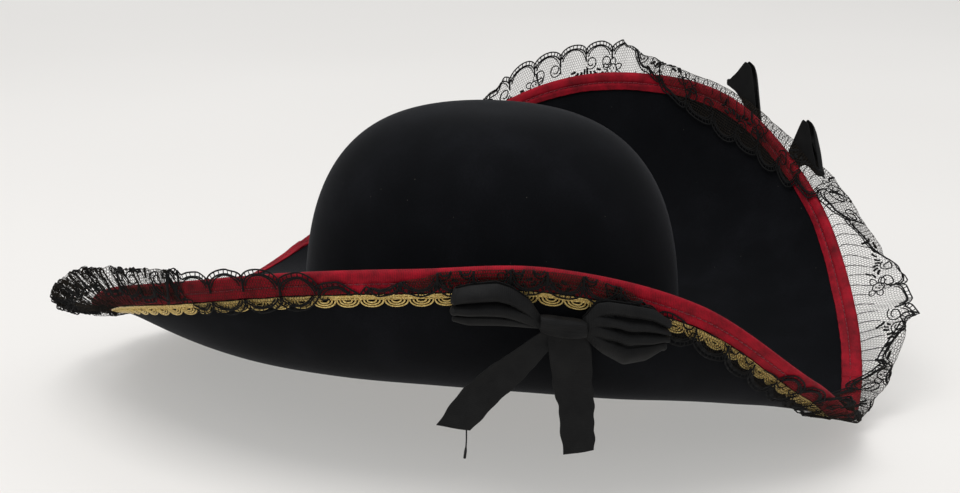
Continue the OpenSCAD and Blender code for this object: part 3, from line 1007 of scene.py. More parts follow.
@dataclass
class Lace:
    """Black galloon lace gathered round the edge, thread by thread.

    The pattern is drawn flat, in distance along the lace and distance in from
    its scalloped edge, and is then laid on the gathered surface. The upper part
    rises from the seam under the tape and folds or flares as its stations say,
    and a lower part hangs over the braid in places.
    """

    form: BrimForm
    seam: float = 8.4
    seam_off: float = 2.9
    scallop: float = 19.5
    scallop_depth: float = 5.2
    ladder: float = 2.2
    cell: float = 0.80
    net: float = 0.135
    cord: float = 0.37
    widest: float = 54.0
    # Azimuths between which only the border stands up, with no scrolls
    plain: tuple[float, float] = (241.0, 272.0)
    # Surface of this net's threads in each square millimetre of it
    thread_share: float = 0.8
    # Azimuth, width above the seam, where it folds, fold as a share of a half
    # turn (outwards positive), lean in degrees, ruffle in mm, fullness
    stations: Array = field(default_factory=lambda: np.array([
        [0, 40, 11, -1, 6, 0.25, 1.08], [5, 40, 15, -1, 3, 0.25, 1.08],
        [10, 39, 23, -1, 0, 0.25, 1.06], [15, 44, 33, -1, -7, 0.25, 1.04],
        [19, 42, 52, -1, 10, 0.25, 1.02], [23, 40, 50, -1, 26, 0.25, 1.02],
        [26, 43, 36, -1, 40, 0.25, 1.02], [30, 46, 30, -1, 60, 0.25, 1],
        [35, 46, 24, -1, 66, 0.25, 1], [40, 47, 20, -1, 62, 0.25, 1],
        [46, 45, 14.5, -1, 42, 0.25, 1], [52, 44, 12, -1, 22, 0.4, 1.05],
        [60, 46, 11.2, -1, 6, 0.4, 1.05], [68, 42, 11.8, -1, 0, 0.4, 1.05],
        [73, 38, 14.5, -1, 0, 0.5, 1.1], [78, 34, 18.5, -1, 0, 0.5, 1.15],
        [82, 31, 24, -1, 0, 0.5, 1.2], [85, 30, 32, -1, 0, 0.5, 1.2],
        [88, 30, 50, 0, 0, 0.5, 1.2],
        [103, 29, 50, 0, 2, 0.6, 1.15], [110, 26, 20, 1, 6, 0.9, 1.05],
        [118, 24, 9, 1, 6, 0.9, 1.1], [160, 24, 9, 1, 8, 1, 1.15],
        [172, 30, 14, 1, 8, 1.2, 1.3], [184, 40, 23, 1, 2, 1.4, 1.6],
        [194, 45, 30, 1, -4, 1.4, 1.7], [206, 46, 31, 1, -6, 1.3, 1.7],
        [216, 44, 28, 1, -4, 1.1, 1.6], [226, 42, 23.5, 1, -2, 0.9, 1.5],
        [234, 40, 20, 1, 0, 0.7, 1.4], [239, 38, 18.5, 1, 0, 0.6, 1.3],
        [241, 22, 18, 1, 0, 0.5, 1.1], [242.5, 16.5, 50, 0, 0, 0.4, 1],
        [252, 16, 50, 0, 0, 0.4, 1], [262, 12, 50, 0, 0, 0.3, 1],
        [268, 7, 50, 0, 0, 0.3, 1], [271, 4, 4, 0.2, 0, 0.3, 1],
        [275, 8, 2.5, 1, 0, 0.3, 1.05], [280, 16, 6.5, 1, 0, 0.4, 1.15],
        [285, 23, 9.6, 1, 0, 0.4, 1.25], [304, 23, 9.6, 1, 0, 0.4, 1.25],
        [309, 19, 7.5, 1, 0, 0.4, 1.15], [313, 5, 2.5, 0.8, 0, 0.3, 1],
        [320, 0.5, 50, 0, 0, 0.2, 1], [331, 0.5, 50, 0, 0, 0.3, 1],
        [336, 9, 50, 0, 0, 0.4, 1], [342, 11, 50, 0, 0, 0.4, 1.05],
        [347, 22, 14, -0.8, 2, 0.4, 1.15], [352, 34, 11.5, -1, 5, 0.5, 1.2]], float))
    # Azimuth and width that hangs below the seam
    hangs: Array = field(default_factory=lambda: np.array([
        [0, 10], [10, 6], [18, 0], [241, 0], [246, 7.5], [262, 7.5], [271, 0], [305, 0],
        [311, 12], [336, 13], [352, 12]], float))

    def __post_init__(self) -> None:
        """Tabulate the gathered surface and the lace's own length round it."""
        form = self.form
        self.turns = np.arange(0, 360, 0.25)
        self.steps = np.arange(0, self.widest + 0.25, 0.5)
        column = [straight_curve(self.stations, self.turns, k)[:, None] for k in range(1, 7)]
        width, fold_at, fold, lean, ruffle, fullness = column
        step = np.diff(np.append(form.distance(self.turns), form.edge_length))
        self.length_run = np.concatenate([[0], np.cumsum(step * fullness[:, 0])])
        w = self.steps[None, :]
        slope = np.radians(lean) * ease((w - 4) / 11)
        inward = fold < 0
        # Folding inwards, it turns, crosses the edge and turns down behind it
        reach = np.sin(slope).cumsum(1) * 0.5
        at_fold = np.take_along_axis(reach, np.clip(fold_at / 0.5, 0, w.shape[1] - 1).astype(int), 1)
        over = fold_at + 5.0 + np.maximum(at_fold, 0)
        first = np.radians(98 + lean) * ease((w - fold_at) / 5.0)
        second = np.radians(82) * ease((w - over) / 5.0)
        turned_in = slope + fold * (first + second)
        turned_out = slope + fold * (np.pi + np.radians(lean)) * ease((w - fold_at) / 3.2)
        heading = np.where(inward, turned_in, turned_out)
        rise = np.concatenate([0 * width, np.cumsum(np.cos(heading[:, 1:]) * 0.5, 1)], 1)
        out = np.concatenate([0 * width, np.cumsum(np.sin(heading[:, 1:]) * 0.5, 1)], 1)
        flat_run = self.length_run[:-1][:, None]
        wave = ripple(flat_run, [(13.5, 1.0, 0.3), (23.0, 0.6, 1.1), (7.7, 0.4, 2.0)])
        loose = ease((w - 4) / 15)
        behind = inward & (w > over)
        out = out + ruffle * loose * wave * np.where(behind, 0.35, 1.0)
        out = out + 0.12 * np.sin(flat_run * 1.1 + w * 0.7)
        # It never enters the tape: outside it before a fold, inside it after
        outside = np.maximum(out, -0.1)
        within = self.seam - rise > -2.6
        out = np.where(behind & within, np.minimum(out, -self.seam_off - 3.0), out)
        out = np.where(~behind & within & (w < fold_at + 2), outside, out)
        self.place = form.skin(self.turns[:, None], self.seam - rise, self.seam_off + out)
        away = np.gradient(self.place, axis=1)
        beside = np.roll(self.place, -1, 0) - np.roll(self.place, 1, 0)
        normal = np.cross(beside, away)
        self.normal = normal / np.maximum(np.linalg.norm(normal, axis=2, keepdims=True), 1e-9)

    @property
    def length(self) -> float:
        """The lace's flat length, in mm."""
        return float(self.length_run[-1])

    def azimuth(self, along: Array) -> Array:
        """Azimuth of a distance along the flat lace."""
        turns = np.append(self.turns, 360.0)
        whole = self.length
        return np.interp(along % whole, self.length_run, turns)

    def upper(self, along: Array, inset: Array) -> tuple[Array, Array, Array]:
        """Lay flat points on the part above the seam.

        Args:
            along: distance along the lace.
            inset: distance in from the scalloped edge.

        Returns:
            Places, normals, and whether each point is above the seam.
        """
        t = self.azimuth(along)
        w = straight_curve(self.stations, t, 1) - inset
        i, j = t / 0.25, np.clip(w, 0, self.widest - 0.6) / 0.5
        i0, j0 = np.floor(i).astype(int), np.floor(j).astype(int)
        fi, fj = (i - i0)[..., None], (j - j0)[..., None]
        n = len(self.turns)
        i0, i1 = i0 % n, (i0 + 1) % n
        found = []
        for read in (self.place, self.normal):
            found.append((1 - fi) * ((1 - fj) * read[i0, j0] + fj * read[i0, j0 + 1])
                         + fi * ((1 - fj) * read[i1, j0] + fj * read[i1, j0 + 1]))
        return found[0], found[1], w > -0.05

    def lower(self, along: Array, inset: Array) -> tuple[Array, Array, Array]:
        """Lay flat points on the part that hangs over the braid.

        Args:
            along: distance along the lace.
            inset: distance in from the scalloped edge.

        Returns:
            Places, normals, and whether each point is below the seam.
        """
        t = self.azimuth(along)
        w = straight_curve(self.hangs, t, 1) - inset
        depth = self.seam - 0.6 + np.maximum(w, 0)
        off = 3.3 + 0.5 * np.sin(along * 0.41) * ease(w / 10) + 0.25 * np.sin(along * 1.3 + w)
        return (self.form.skin(t, depth, off), self.form.outward(t, depth),
                (w > -0.05) & (straight_curve(self.hangs, t, 1) > 3))

    def cut(self, quarter: int) -> tuple[float, float, float]:
        """Measure one length of net as it was cut.

        Its width is the mean netted width. The area isn't that of the cut
        rectangle but of the threads in it, since most of the net is open: width
        times length times the thread share.

        Args:
            quarter: which length, from 0.

        Returns:
            Width and length in metres, and area in square metres.
        """
        part = slice(quarter * 360, quarter * 360 + 360)
        step = np.diff(self.length_run)[part]
        border = self.ladder + self.scallop_depth / 3
        above = straight_curve(self.stations, self.turns[part], 1)
        below = straight_curve(self.hangs, self.turns[part], 1)
        netted = np.maximum(above - border, 0) + np.maximum(below - border, 0)
        length = float(step.sum()) * MM
        width = float((netted * step).sum()) * MM * MM / length
        return width, length, self.thread_share * width * length

    def arch(self, share: Array) -> Array:
        """Drop of the scalloped edge below its peaks, an arc of an ellipse.

        Args:
            share: place across a scallop, from -1 to 1.

        Returns:
            Distances in mm.
        """
        return self.scallop_depth * (1 - np.sqrt(1 - 0.97 * np.clip(share, -1, 1) ** 2))

    def cords(self) -> list[tuple[Array, float, int]]:
        """Draw the border, scrolls, leaves, flowers and stems.

        Scrolls stay clear of the stretch where only the border stands up.

        Returns:
            Groups of strokes: (k, n, 2) points, half thickness and sides.
        """
        count = round(self.length / self.scallop)
        pitch = self.length / count
        centre = (np.arange(count) + 0.5) * pitch
        half = pitch / 2
        bold = self.cord

        def repeat(x: Array, v: Array, every: int = 1, first: int = 0) -> Array:
            """Repeat strokes (k, n) at each scallop, or at every few."""
            mid = centre[first::every]
            if v.min() > 7.5:
                turn = self.azimuth(mid)
                mid = mid[(turn < self.plain[0]) | (turn > self.plain[1])]
            along = mid[:, None, None] + x[None]
            inset = np.broadcast_to(v[None], along.shape)
            return np.stack([along, inset], -1).reshape(-1, x.shape[-1], 2)

        groups: list[tuple[Array, float, int]] = []
        share = np.sin(np.linspace(-np.pi / 2, np.pi / 2, 21))
        drop = self.arch(share)
        groups.append((repeat((share * half)[None], drop[None] + 0.4), bold * 1.15, 5))
        for tuck, deeper, thick in ((0.90, 0.0, 1.25), (0.84, 0.62, 1.0)):
            inner = drop * (1.03 + 0.5 * deeper) + self.ladder + 0.4 + deeper
            groups.append((repeat((share * half * tuck)[None], inner[None]), bold * thick, 5))
        # Rungs between the cords, eleven to a scallop
        place = np.sin(np.linspace(-0.96, 0.96, 11) * np.pi / 2)[:, None]
        cross = np.linspace(0, 1, 3)[None]
        rung_x = place * half * (1 - 0.10 * cross)
        rung_v = self.arch(place) + 0.4 + self.ladder * cross
        groups.append((repeat(rung_x, rung_v), bold * 0.8, 4))
        # Bars that run in from each valley
        bar = np.linspace(0, 1, 7)[None]
        groups.append((repeat(half + 0.25 * np.sin(bar * 3), 5.2 + 6.4 * bar), bold * 1.6, 5))
        groups.append((repeat(half + 0.5 * np.sin(bar * 4), 7.0 + 9.0 * bar, 4, 2), bold * 1.2, 5))
        # Curls from the bar's end, to both sides in turn: a spiral that tightens
        a = np.linspace(0, 1, 26)
        for way, first in ((1, 0), (-1, 1)):
            turn = np.radians(-150 + 470 * a)
            radius = 4.3 * (1 - 0.62 * a)
            x = half + way * (3.8 + radius * np.cos(turn))
            v = 12.6 - radius * np.sin(turn)
            groups.append((repeat(x[None], v[None], 2, first), bold * 1.05, 5))
        # Flower under every third valley: a ring, lobes round it and a few dots
        ring = np.linspace(0, 2 * np.pi, 17)
        middle_x, middle_v = half, 17.6
        groups.append((repeat((middle_x + 3.3 * np.cos(ring))[None],
                              (middle_v + 3.3 * np.sin(ring))[None], 3, 1), bold * 1.05, 5))
        petal = np.linspace(0, np.pi, 11)[None]
        facing = np.radians(np.array([-20.0, 40.0, 145.0, 200.0, 262.0]))[:, None]
        bulge = 3.4 + 3.6 * np.sin(petal) ** 0.7
        spread = facing + (petal / np.pi - 0.5) * np.radians(50)
        groups.append((repeat(middle_x + bulge * np.cos(spread), middle_v + bulge * np.sin(spread),
                              3, 1), bold * 0.9, 4))
        dots = np.linspace(0, 1, 3)[None]
        dot_x = middle_x + np.array([[-1.4], [0.9], [-0.3]]) + dots * 0.8
        dot_v = middle_v + np.array([[-0.8], [-0.6], [1.1]]) + dots * 0.3
        groups.append((repeat(dot_x, dot_v, 3, 1), bold * 1.4, 4))
        # Sprays of leaves: short thick strokes that fan from each curl
        leaf = np.linspace(0, 1, 4)[None]
        spray = np.array([[-8.6, 16.0, 250], [-6.4, 17.6, 275], [-4.0, 17.8, 300],
                          [-1.8, 16.6, 322], [3.4, 19.0, 200], [1.8, 21.4, 222]])
        angle = np.radians(spray[:, 2:3] + 24 * leaf)
        leaf_x = spray[:, 0:1] + 3.2 * leaf * np.cos(angle)
        leaf_v = spray[:, 1:2] - 3.2 * leaf * np.sin(angle)
        groups.append((repeat(leaf_x, leaf_v, 3, 0), bold * 1.9, 4))
        groups.append((repeat(-leaf_x, leaf_v, 3, 2), bold * 1.9, 4))
        # Long curved stems that run from the motifs to the seam
        run = np.linspace(0, 1, 14)[None]
        foot = (np.arange(3) * pitch / 3 - half + 1.5)[:, None]
        stem_x = foot + 3.6 * np.sin(run * np.pi * 0.9) - 2.4 * run
        groups.append((repeat(stem_x, 20.5 + 33.0 * run + 0 * foot), bold * 0.7, 4))
        return groups

    def ground(self) -> list[tuple[Array, float, int]]:
        """Draw the hexagonal net: zigzag threads along it, and ties between them.

        Returns:
            Two groups of strokes.
        """
        count = round(self.length / self.scallop)
        pitch = self.length / count
        wide = math.sqrt(3) * self.cell
        cells = round(count * pitch / wide)
        wide = count * pitch / cells
        tall = 1.9 * self.cell
        rows = int((self.widest - 4) / tall)
        k = np.arange(2 * cells + 1)
        level = 2.6 + tall * np.arange(rows)
        flip = (np.arange(rows) % 2)[:, None]
        zig_x = np.broadcast_to(k[None] * wide / 2, (rows, len(k)))
        zig_v = level[:, None] + self.cell / 4 * np.where((k[None] + flip) % 2 == 0, -1, 1)
        zig = np.stack([zig_x, zig_v], -1)
        # Cut into short strokes, so that each length takes its own
        short = 24
        whole = (len(k) - 1) // short
        index = (np.arange(whole) * short)[:, None] + np.arange(short + 1)[None]
        threads = zig[:, index].reshape(-1, short + 1, 2)
        tie_k = np.arange(cells)[None] * 2 + 1 - flip
        tie_x = np.stack([tie_k * wide / 2] * 2, -1)
        low = level[:, None] + self.cell / 4 + 0 * tie_k
        tie_v = np.stack([low, low + tall - self.cell / 2], -1)
        ties = np.stack([tie_x, tie_v], -1).reshape(-1, 2, 2)
        return [(threads, self.net, 3), (ties, self.net, 3)]

    def lay(self, strokes: list[tuple[Array, float, int]], bordered: bool) -> list[Sheet]:
        """Lay strokes on the gathered surface, in four lengths.

        Args:
            strokes: what to lay.
            bordered: keeps only what lies inside the scalloped border.

        Returns:
            The four lengths.
        """
        sheets = [Sheet() for _ in range(4)]
        pitch = self.length / round(self.length / self.scallop)
        for flat, radius, sides in strokes:
            middle = self.azimuth(flat[:, flat.shape[1] // 2, 0])
            for k, sheet in enumerate(sheets):
                own = flat[(middle // 90).astype(int) == k]
                edge = self.arch((own[..., 0] % pitch) / pitch * 2 - 1)
                inside = own[..., 1] > (edge + self.ladder if bordered else -9)
                for surface in (self.upper, self.lower):
                    place, normal, on = surface(own[..., 0], own[..., 1])
                    good = on & inside
                    keep = good[:, 1:] & good[:, :-1]
                    rows = keep.any(1)
                    if rows.any():
                        sheet.add_tubes(place[rows], normal[rows], radius, sides, keep[rows],
                                        squeeze=0.7)
        return sheets

    def pieces(self) -> tuple[list[bpy.types.Object], list[bpy.types.Object]]:
        """Build four lengths of net ground and the corded pattern on each.

        Returns:
            The net lengths and the corded lengths.
        """
        names = ["front_left", "rear_left", "rear_right", "front_right"]
        made: list[list[bpy.types.Object]] = []
        for title, strokes, finish, bordered in (
                ("lace_net_", self.ground(), Finish.LACE_NET, True),
                ("lace_figures_", self.cords(), Finish.LACE_CORD, False)):
            lengths = []
            for name, sheet in zip(names, self.lay(strokes, bordered)):
                lace = sheet.build(title + name, dress(finish), smooth=False)
                lengths.append(settle(lace, "black_lace", "lace_" + name))
            made.append(lengths)
        return made[0], made[1]


# ---- Inside -------------------------------------------------------------


@dataclass
class Sweatband:
    """Tan grosgrain band inside the head line, with its hand stitches."""

    form: BrimForm
    height: float = 32.0
    thick: float = 0.8
    stitch: float = 6.0

    def inner_wall(self, azimuth: Array, z: Array, inset: Array) -> Array:
        """Point inside the crown's inner wall at a height, less an inset.

        The radius is the head ellipse's, narrowed as the dome is at that height.

        Args:
            azimuth: in degrees.
            z: height in mm.
            inset: distance inside the wall.

        Returns:
            Points in mm.
        """
        rise = np.maximum(0, z) / (CROWN_HEIGHT - FELT)
        narrow = (1 - rise ** CROWN_SHOULDER) ** (1 / CROWN_SHOULDER) * (1 - CROWN_TAPER * rise)
        radius = self.form.head_radius(azimuth, FELT + 0.3) * narrow - inset
        return set_in_hat(azimuth, radius, z)

    def band(self) -> bpy.types.Object:
        """Build the band: a thin section with rolled edges, carried round."""
        azimuth = np.arange(360) * 1.0
        rise = np.concatenate([[-1.2, -0.6], np.linspace(0.6, 30.6, 21), [31.4, 31.9]])
        puff = 0.5 * np.exp(-((rise - 31.2) / 0.9) ** 2) + 0.35 * np.exp(-((rise + 0.6) / 1.1) ** 2)
        face = self.thick + puff[None] + 0.25 * np.sin(np.radians(azimuth * 11))[:, None] * np.exp(
            -((rise[None] - 26) / 7) ** 2)
        inner = self.inner_wall(azimuth[:, None], rise[None], face)
        outer = self.inner_wall(azimuth[:, None], rise[None, ::-1], 0.12)
        grid = np.concatenate([inner, outer], 1)
        along = np.append(azimuth, 360) * np.pi / 180 * 90
        across = np.concatenate([rise, rise[::-1] + 40, [45]])
        u, v = np.meshgrid(along, across, indexing="ij")
        sheet = Sheet()
        sheet.add_grid(grid, np.stack([u, v], -1), close_u=True, close_v=True, flip=True)
        self._join(sheet)
        band = sheet.build("grosgrain_sweatband", dress(Finish.SWEATBAND))
        return settle(band, "sweatband", "sweatband")

    def _join(self, sheet: Sheet) -> None:
        """Add the lapped join at the back of the band."""
        azimuth = 180 + np.linspace(0, 9, 13)
        rise = np.linspace(-0.8, 31.6, 14)
        lap = np.clip((azimuth - 180) / 0.8, 0, 1) ** 0.5 * ease((189 - azimuth) / 5)
        front = self.inner_wall(azimuth[:, None], rise[None], 1.0 + 0.9 * lap[:, None])
        back = self.inner_wall(azimuth[:, None], rise[None, ::-1], 0.7)
        grid = np.concatenate([front, back], 1)
        u, v = np.meshgrid(azimuth * 1.57, np.linspace(0, 64, grid.shape[1] + 1), indexing="ij")
        sheet.add_grid(grid, np.stack([u, v], -1), close_v=True, cap=True, flip=True)

    def stitching(self) -> bpy.types.Object:
        """Build slanting hand stitches round the head line."""
        count = 92
        share = np.linspace(0, 1, 7)
        azimuth = (np.arange(count)[:, None] + 0.62 * share[None]) * 360 / count
        z = 1.5 + 2.0 * share[None] + 0 * azimuth
        inset = 1.25 + 0.45 * np.sin(np.pi * share)[None] + 0 * azimuth
        path = self.inner_wall(azimuth, z, inset)
        normal = self.inner_wall(azimuth, z, inset + 1) - path
        sheet = Sheet()
        sheet.add_tubes(path, normal, 0.28, 5)
        thread = sheet.build("head_line_stitches", dress(Finish.TAN_THREAD))
        return settle(thread, "tan_thread", "head_stitching")


# ---- Bows ---------------------------------------------------------------


class Side(Enum):
    """Which side of the hat a bow is on, and which way azimuth runs to the front."""

    RIGHT = 1
    LEFT = -1


@dataclass(frozen=True)
class LoopShape:
    """How one bow loop lies, as curves from the knot outwards.

    Each row is a distance from the knot's middle, the heights of the loop's lower
    and upper sides there, and how far it stands off at its fullest.
    """

    rows: tuple[tuple[float, float, float, float], ...]
    pleats: tuple[tuple[float, float, float], ...]
    tip: float = 0.0
    pleated: float = 1.15
    hidden: float = 4.0

    @property
    def cut(self) -> tuple[float, float, float]:
        """Width and length of the ribbon in metres, and its area, out and back.

        They are read from the loop as it lies: the tallest row, twice the reach
        plus what the knot hides, and twice the outline with a share for pleats.
        """
        rows = np.array(self.rows)
        tall = rows[:, 2] - rows[:, 1]
        area = float((np.diff(rows[:, 0]) * (tall[1:] + tall[:-1]) / 2).sum()) * 2 * self.pleated
        length = 2 * (rows[-1, 0] - rows[0, 0]) + self.hidden
        return float(tall.max()) * MM, float(length) * MM, area * MM * MM


@dataclass
class Bow:
    """A flat dressmaker's bow: a knot, two pleated loops and two cut tails."""

    form: BrimForm
    side: Side
    azimuth: float
    depth: float
    front: LoopShape
    rear: LoopShape
    tail_drop: float = 3.0
    half_width: float = 9.5
    half_height: float = 4.2
    ribbon: float = 0.36
    # Width and length that each tail was cut to, in metres
    front_tail_cut: tuple[float, float] = (0.017, 0.059)
    rear_tail_cut: tuple[float, float] = (0.017, 0.062)

    @property
    def label(self) -> str:
        """The side's name, as it starts each piece's name."""
        return self.side.name.lower()

    def on_brim(self, x: Array, up: Array, off: Array) -> Array:
        """Place a point beside the knot.

        Args:
            x: distance along the edge, towards the front.
            up: distance up towards the edge.
            off: height off the felt's middle.

        Returns:
            Points in mm.
        """
        azimuth = self.form.beside(self.azimuth, self.side.value * np.asarray(x))
        return self.form.skin(azimuth, self.depth - up, off)

    def loop(self, name: str, shape: LoopShape, way: int) -> bpy.types.Object:
        """Build one loop: ribbon that fans out in pleats, folds and comes back.

        The front layer runs out from the knot between its lower and upper side and
        bulges as a half sine, less a sharp groove along each pleat. It turns round
        a small fold at the far end, and the back layer lies close to the brim.

        Args:
            name: front_loop or rear_loop.
            shape: how it lies.
            way: 1 towards the front, -1 towards the rear.

        Returns:
            The loop.
        """
        rows = np.array(shape.rows)
        run = np.linspace(0, 1, 44)
        ease_end = 1 - (1 - run) ** 1.5
        x = rows[0, 0] + (rows[-1, 0] - rows[0, 0]) * ease_end
        low, high, full = (self._through(rows[:, 0], rows[:, k], x) for k in (1, 2, 3))
        b = np.linspace(0, 1, 81)[None, :]
        # The far end leans, so that the loop comes to a soft corner
        lean = shape.tip * (b - 0.5) * ease(run)[:, None]
        x = x[:, None] + lean
        up = low[:, None] + (high - low)[:, None] * b
        body = np.sin(np.pi * (0.04 + 0.92 * b)) ** 0.55
        groove = np.zeros_like(b) + 0 * x
        for place, deep, wide in shape.pleats:
            drift = place + 0.05 * np.sin(3 * run)[:, None]
            side = (b - drift) / wide
            cut = deep * np.exp(-np.abs(side) ** 1.2) * np.where(side > 0, 1.0, 0.55)
            groove = groove + cut * ease((run[:, None] - 0.02) / 0.3)
        soft = 0.25 * np.sin(7 * b + 4 * run[:, None]) + 0.15 * np.sin(15 * b - 6 * run[:, None])
        front = 5.6 + full[:, None] * body - groove * full[:, None] / 7 + soft * full[:, None] / 6
        front = np.maximum(front, 5.35)
        back = 4.9 + 0.25 * body + 0 * front
        # The fold at the far end is a half circle from the front layer to the back
        turn = np.linspace(0, np.pi, 9)[1:-1][:, None]
        middle, half = (front[-1:] + back[-1:]) / 2, (front[-1:] - back[-1:]) / 2
        fold_off = middle + half * np.cos(turn)
        fold_x = x[-1:] + 0.8 * half * np.sin(turn) ** 0.8
        x = np.concatenate([x, fold_x, x[::-1]])
        up = np.concatenate([up, np.repeat(up[-1:], len(turn), 0), up[::-1]])
        off = np.concatenate([front, fold_off, back[::-1]])
        grid = self.on_brim(way * x, up, off)
        u, v = np.meshgrid(np.linspace(0, 2 * rows[-1, 0], len(x)), np.linspace(0, 24, 81),
                           indexing="ij")
        sheet = Sheet()
        flip = (way * self.side.value) < 0
        sheet.add_grid(grid, np.stack([u, v], -1), flip=flip)
        return self._ribbon(sheet, f"{self.label}_ribbon_{name}", f"{self.label}_bow_{name}")

    @staticmethod
    def _through(place: Array, value: Array, x: Array) -> Array:
        """Read a row of values between places, smoothed over a tenth of their run."""
        fine = np.linspace(place[0], place[-1], 121)
        line = np.interp(fine, place, value)
        weight = np.hanning(13)[1:-1]
        padded = np.concatenate([np.full(5, line[0]), line, np.full(5, line[-1])])
        smooth = np.convolve(padded, weight / weight.sum(), "valid")
        return np.interp(x, fine, smooth)

    def _layer(self, sheet: Sheet, name: str) -> bpy.types.Object:
        """Build one layer of ribbon and give it its thickness."""
        piece = sheet.build(name, dress(Finish.RIBBON))
        solid = piece.modifiers.new("thickness", "SOLIDIFY")
        solid.thickness = self.ribbon * MM
        solid.offset = 0.0
        return piece

    def _ribbon(self, sheet: Sheet, name: str, node: str) -> bpy.types.Object:
        """Finish a single layer of ribbon: give it its thickness and ride.

        Args:
            sheet: the layer.
            name: the piece's name.
            node: the CAD node it stands for.

        Returns:
            The piece.
        """
        return settle(self._layer(sheet, name), "satin_ribbon", node)

    def knot(self) -> bpy.types.Object:
        """Build the knot: a soft band wrapped round the middle, with creases."""
        x = np.linspace(-1, 1, 41)[:, None]
        turn = (np.arange(44) * 2 * np.pi / 44)[None, :]
        # A flattened ring, a superellipse of power 3, drawn in at its ends
        c, s = np.cos(turn), np.sin(turn)
        round_x = np.sign(c) * np.abs(c) ** 0.66
        round_y = np.sign(s) * np.abs(s) ** 0.66
        full = 1 - 0.22 * np.abs(x) ** 3
        sag = 0.7 * np.cos(np.pi * x / 2)
        up = self.half_height * full * round_x - sag
        crease = 0.28 * np.sin(3.2 * turn + 1.5 * x) + 0.22 * np.sin(7 * turn + 2.5 * x)
        off = 8.0 + (3.6 * full + crease) * round_y
        grid = self.on_brim(x * self.half_width, up, off)
        u, v = np.meshgrid(np.linspace(0, 19, 41), np.linspace(0, 26, 45), indexing="ij")
        sheet = Sheet()
        sheet.add_grid(grid, np.stack([v, u], -1), close_v=True, cap=True,
                       flip=self.side is Side.LEFT)
        knot = sheet.build(f"{self.label}_ribbon_knot", dress(Finish.RIBBON))
        return settle(knot, "satin_ribbon", f"{self.label}_bow_knot")

    def tack(self) -> bpy.types.Object:
        """Build the two bars of thread that hold the knot to the felt."""
        turn = np.linspace(0, 5 * 2 * np.pi, 60)
        sheet = Sheet()
        extra = 3.0 if self.side is Side.LEFT else 0.0
        for x in (-3.0, 3.0):
            off = np.linspace(FELT / 2, 4.6, 60)
            path = self.on_brim(x + 0.28 * np.cos(turn), -extra + 0.28 * np.sin(turn), off)
            normal = self.on_brim(x + 0 * off, -extra + 0 * off + 1, off) - path
            sheet.add_tubes(path[None], normal[None], 0.24, 5)
        tack = sheet.build(f"{self.label}_thread_tacks", dress(Finish.BLACK_THREAD))
        return settle(tack, "black_thread", f"{self.label}_bow_tack")

    @property
    def pin(self) -> Array:
        """Where the tails hang from, under the knot."""
        return self.form.skin(np.array(self.azimuth), self.depth + 5.0 + self.tail_drop, 6.5)

    def hang(self, x: Array, z: Array, off: Array) -> Array:
        """Place a point in the upright plane through the pin, facing outwards.

        Args:
            x: distance towards the front.
            z: height over the pin.
            off: distance outwards.

        Returns:
            Points in mm.
        """
        t = np.radians(self.azimuth)
        front = self.side.value * np.array([np.cos(t), np.sin(t), 0.0])
        outward = np.array([np.sin(t), -np.cos(t), 0.0])
        x, z, off = (v[..., None] for v in np.broadcast_arrays(x, z, off))
        return self.pin + x * front + off * outward + z * np.array([0.0, 0.0, 1.0])

    def tail(self, name: str, left: Array, right: Array, body: str) -> bpy.types.Object:
        """Build a tail between two edge curves.

        Args:
            name: front_tail or rear_tail.
            left: (n, 2) rear edge, as distance to the front and height.
            right: (n, 2) front edge.
            body: the tail's CAD body; not used.

        Returns:
            The tail.
        """
        knots = np.linspace(0, 1, len(left))
        a = np.linspace(0, 1, 71)
        edges = []
        for edge, phase in ((left, 0.0), (right, 1.7)):
            x, z = (np.interp(a, knots, edge[:, k]) for k in (0, 1))
            for _ in range(6):
                x[1:-1] = (x[:-2] + 2 * x[1:-1] + x[2:]) / 4
                z[1:-1] = (z[:-2] + 2 * z[1:-1] + z[2:]) / 4
            fray = ripple(a, [(0.13, 0.22, phase), (0.31, 0.3, phase)]) * ease((a - 0.25) / 0.3)
            edges.append(np.stack([x + fray, z], -1))
        b = np.linspace(0, 1, 25)[None, :, None]
        flat = edges[0][:, None] * (1 - b) + edges[1][:, None] * b
        down = a[:, None]
        across = b[..., 0]
        off = (0.9 * np.sin(2.1 * np.pi * down + 0.5) * ease(down / 0.3)
               + 0.45 * np.cos(np.pi * (across * 1.6 + down)) * ease(down / 0.2)
               + 1.0 * (1 - ease(down / 0.12)))
        grid = self.hang(flat[..., 0], flat[..., 1], off)
        run = np.linspace(0, np.linalg.norm(left[-1] - left[0]), 71)
        u, v = np.meshgrid(run, np.linspace(0, 18, 25), indexing="ij")
        sheet = Sheet()
        sheet.add_grid(grid, np.stack([u, v], -1), flip=self.side is Side.RIGHT)
        piece = self._layer(sheet, f"{self.label}_ribbon_{name}")
        pin = self.pin * MM
        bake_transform(piece)
        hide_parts(f"{self.label}_bow_{name}")
        return piece

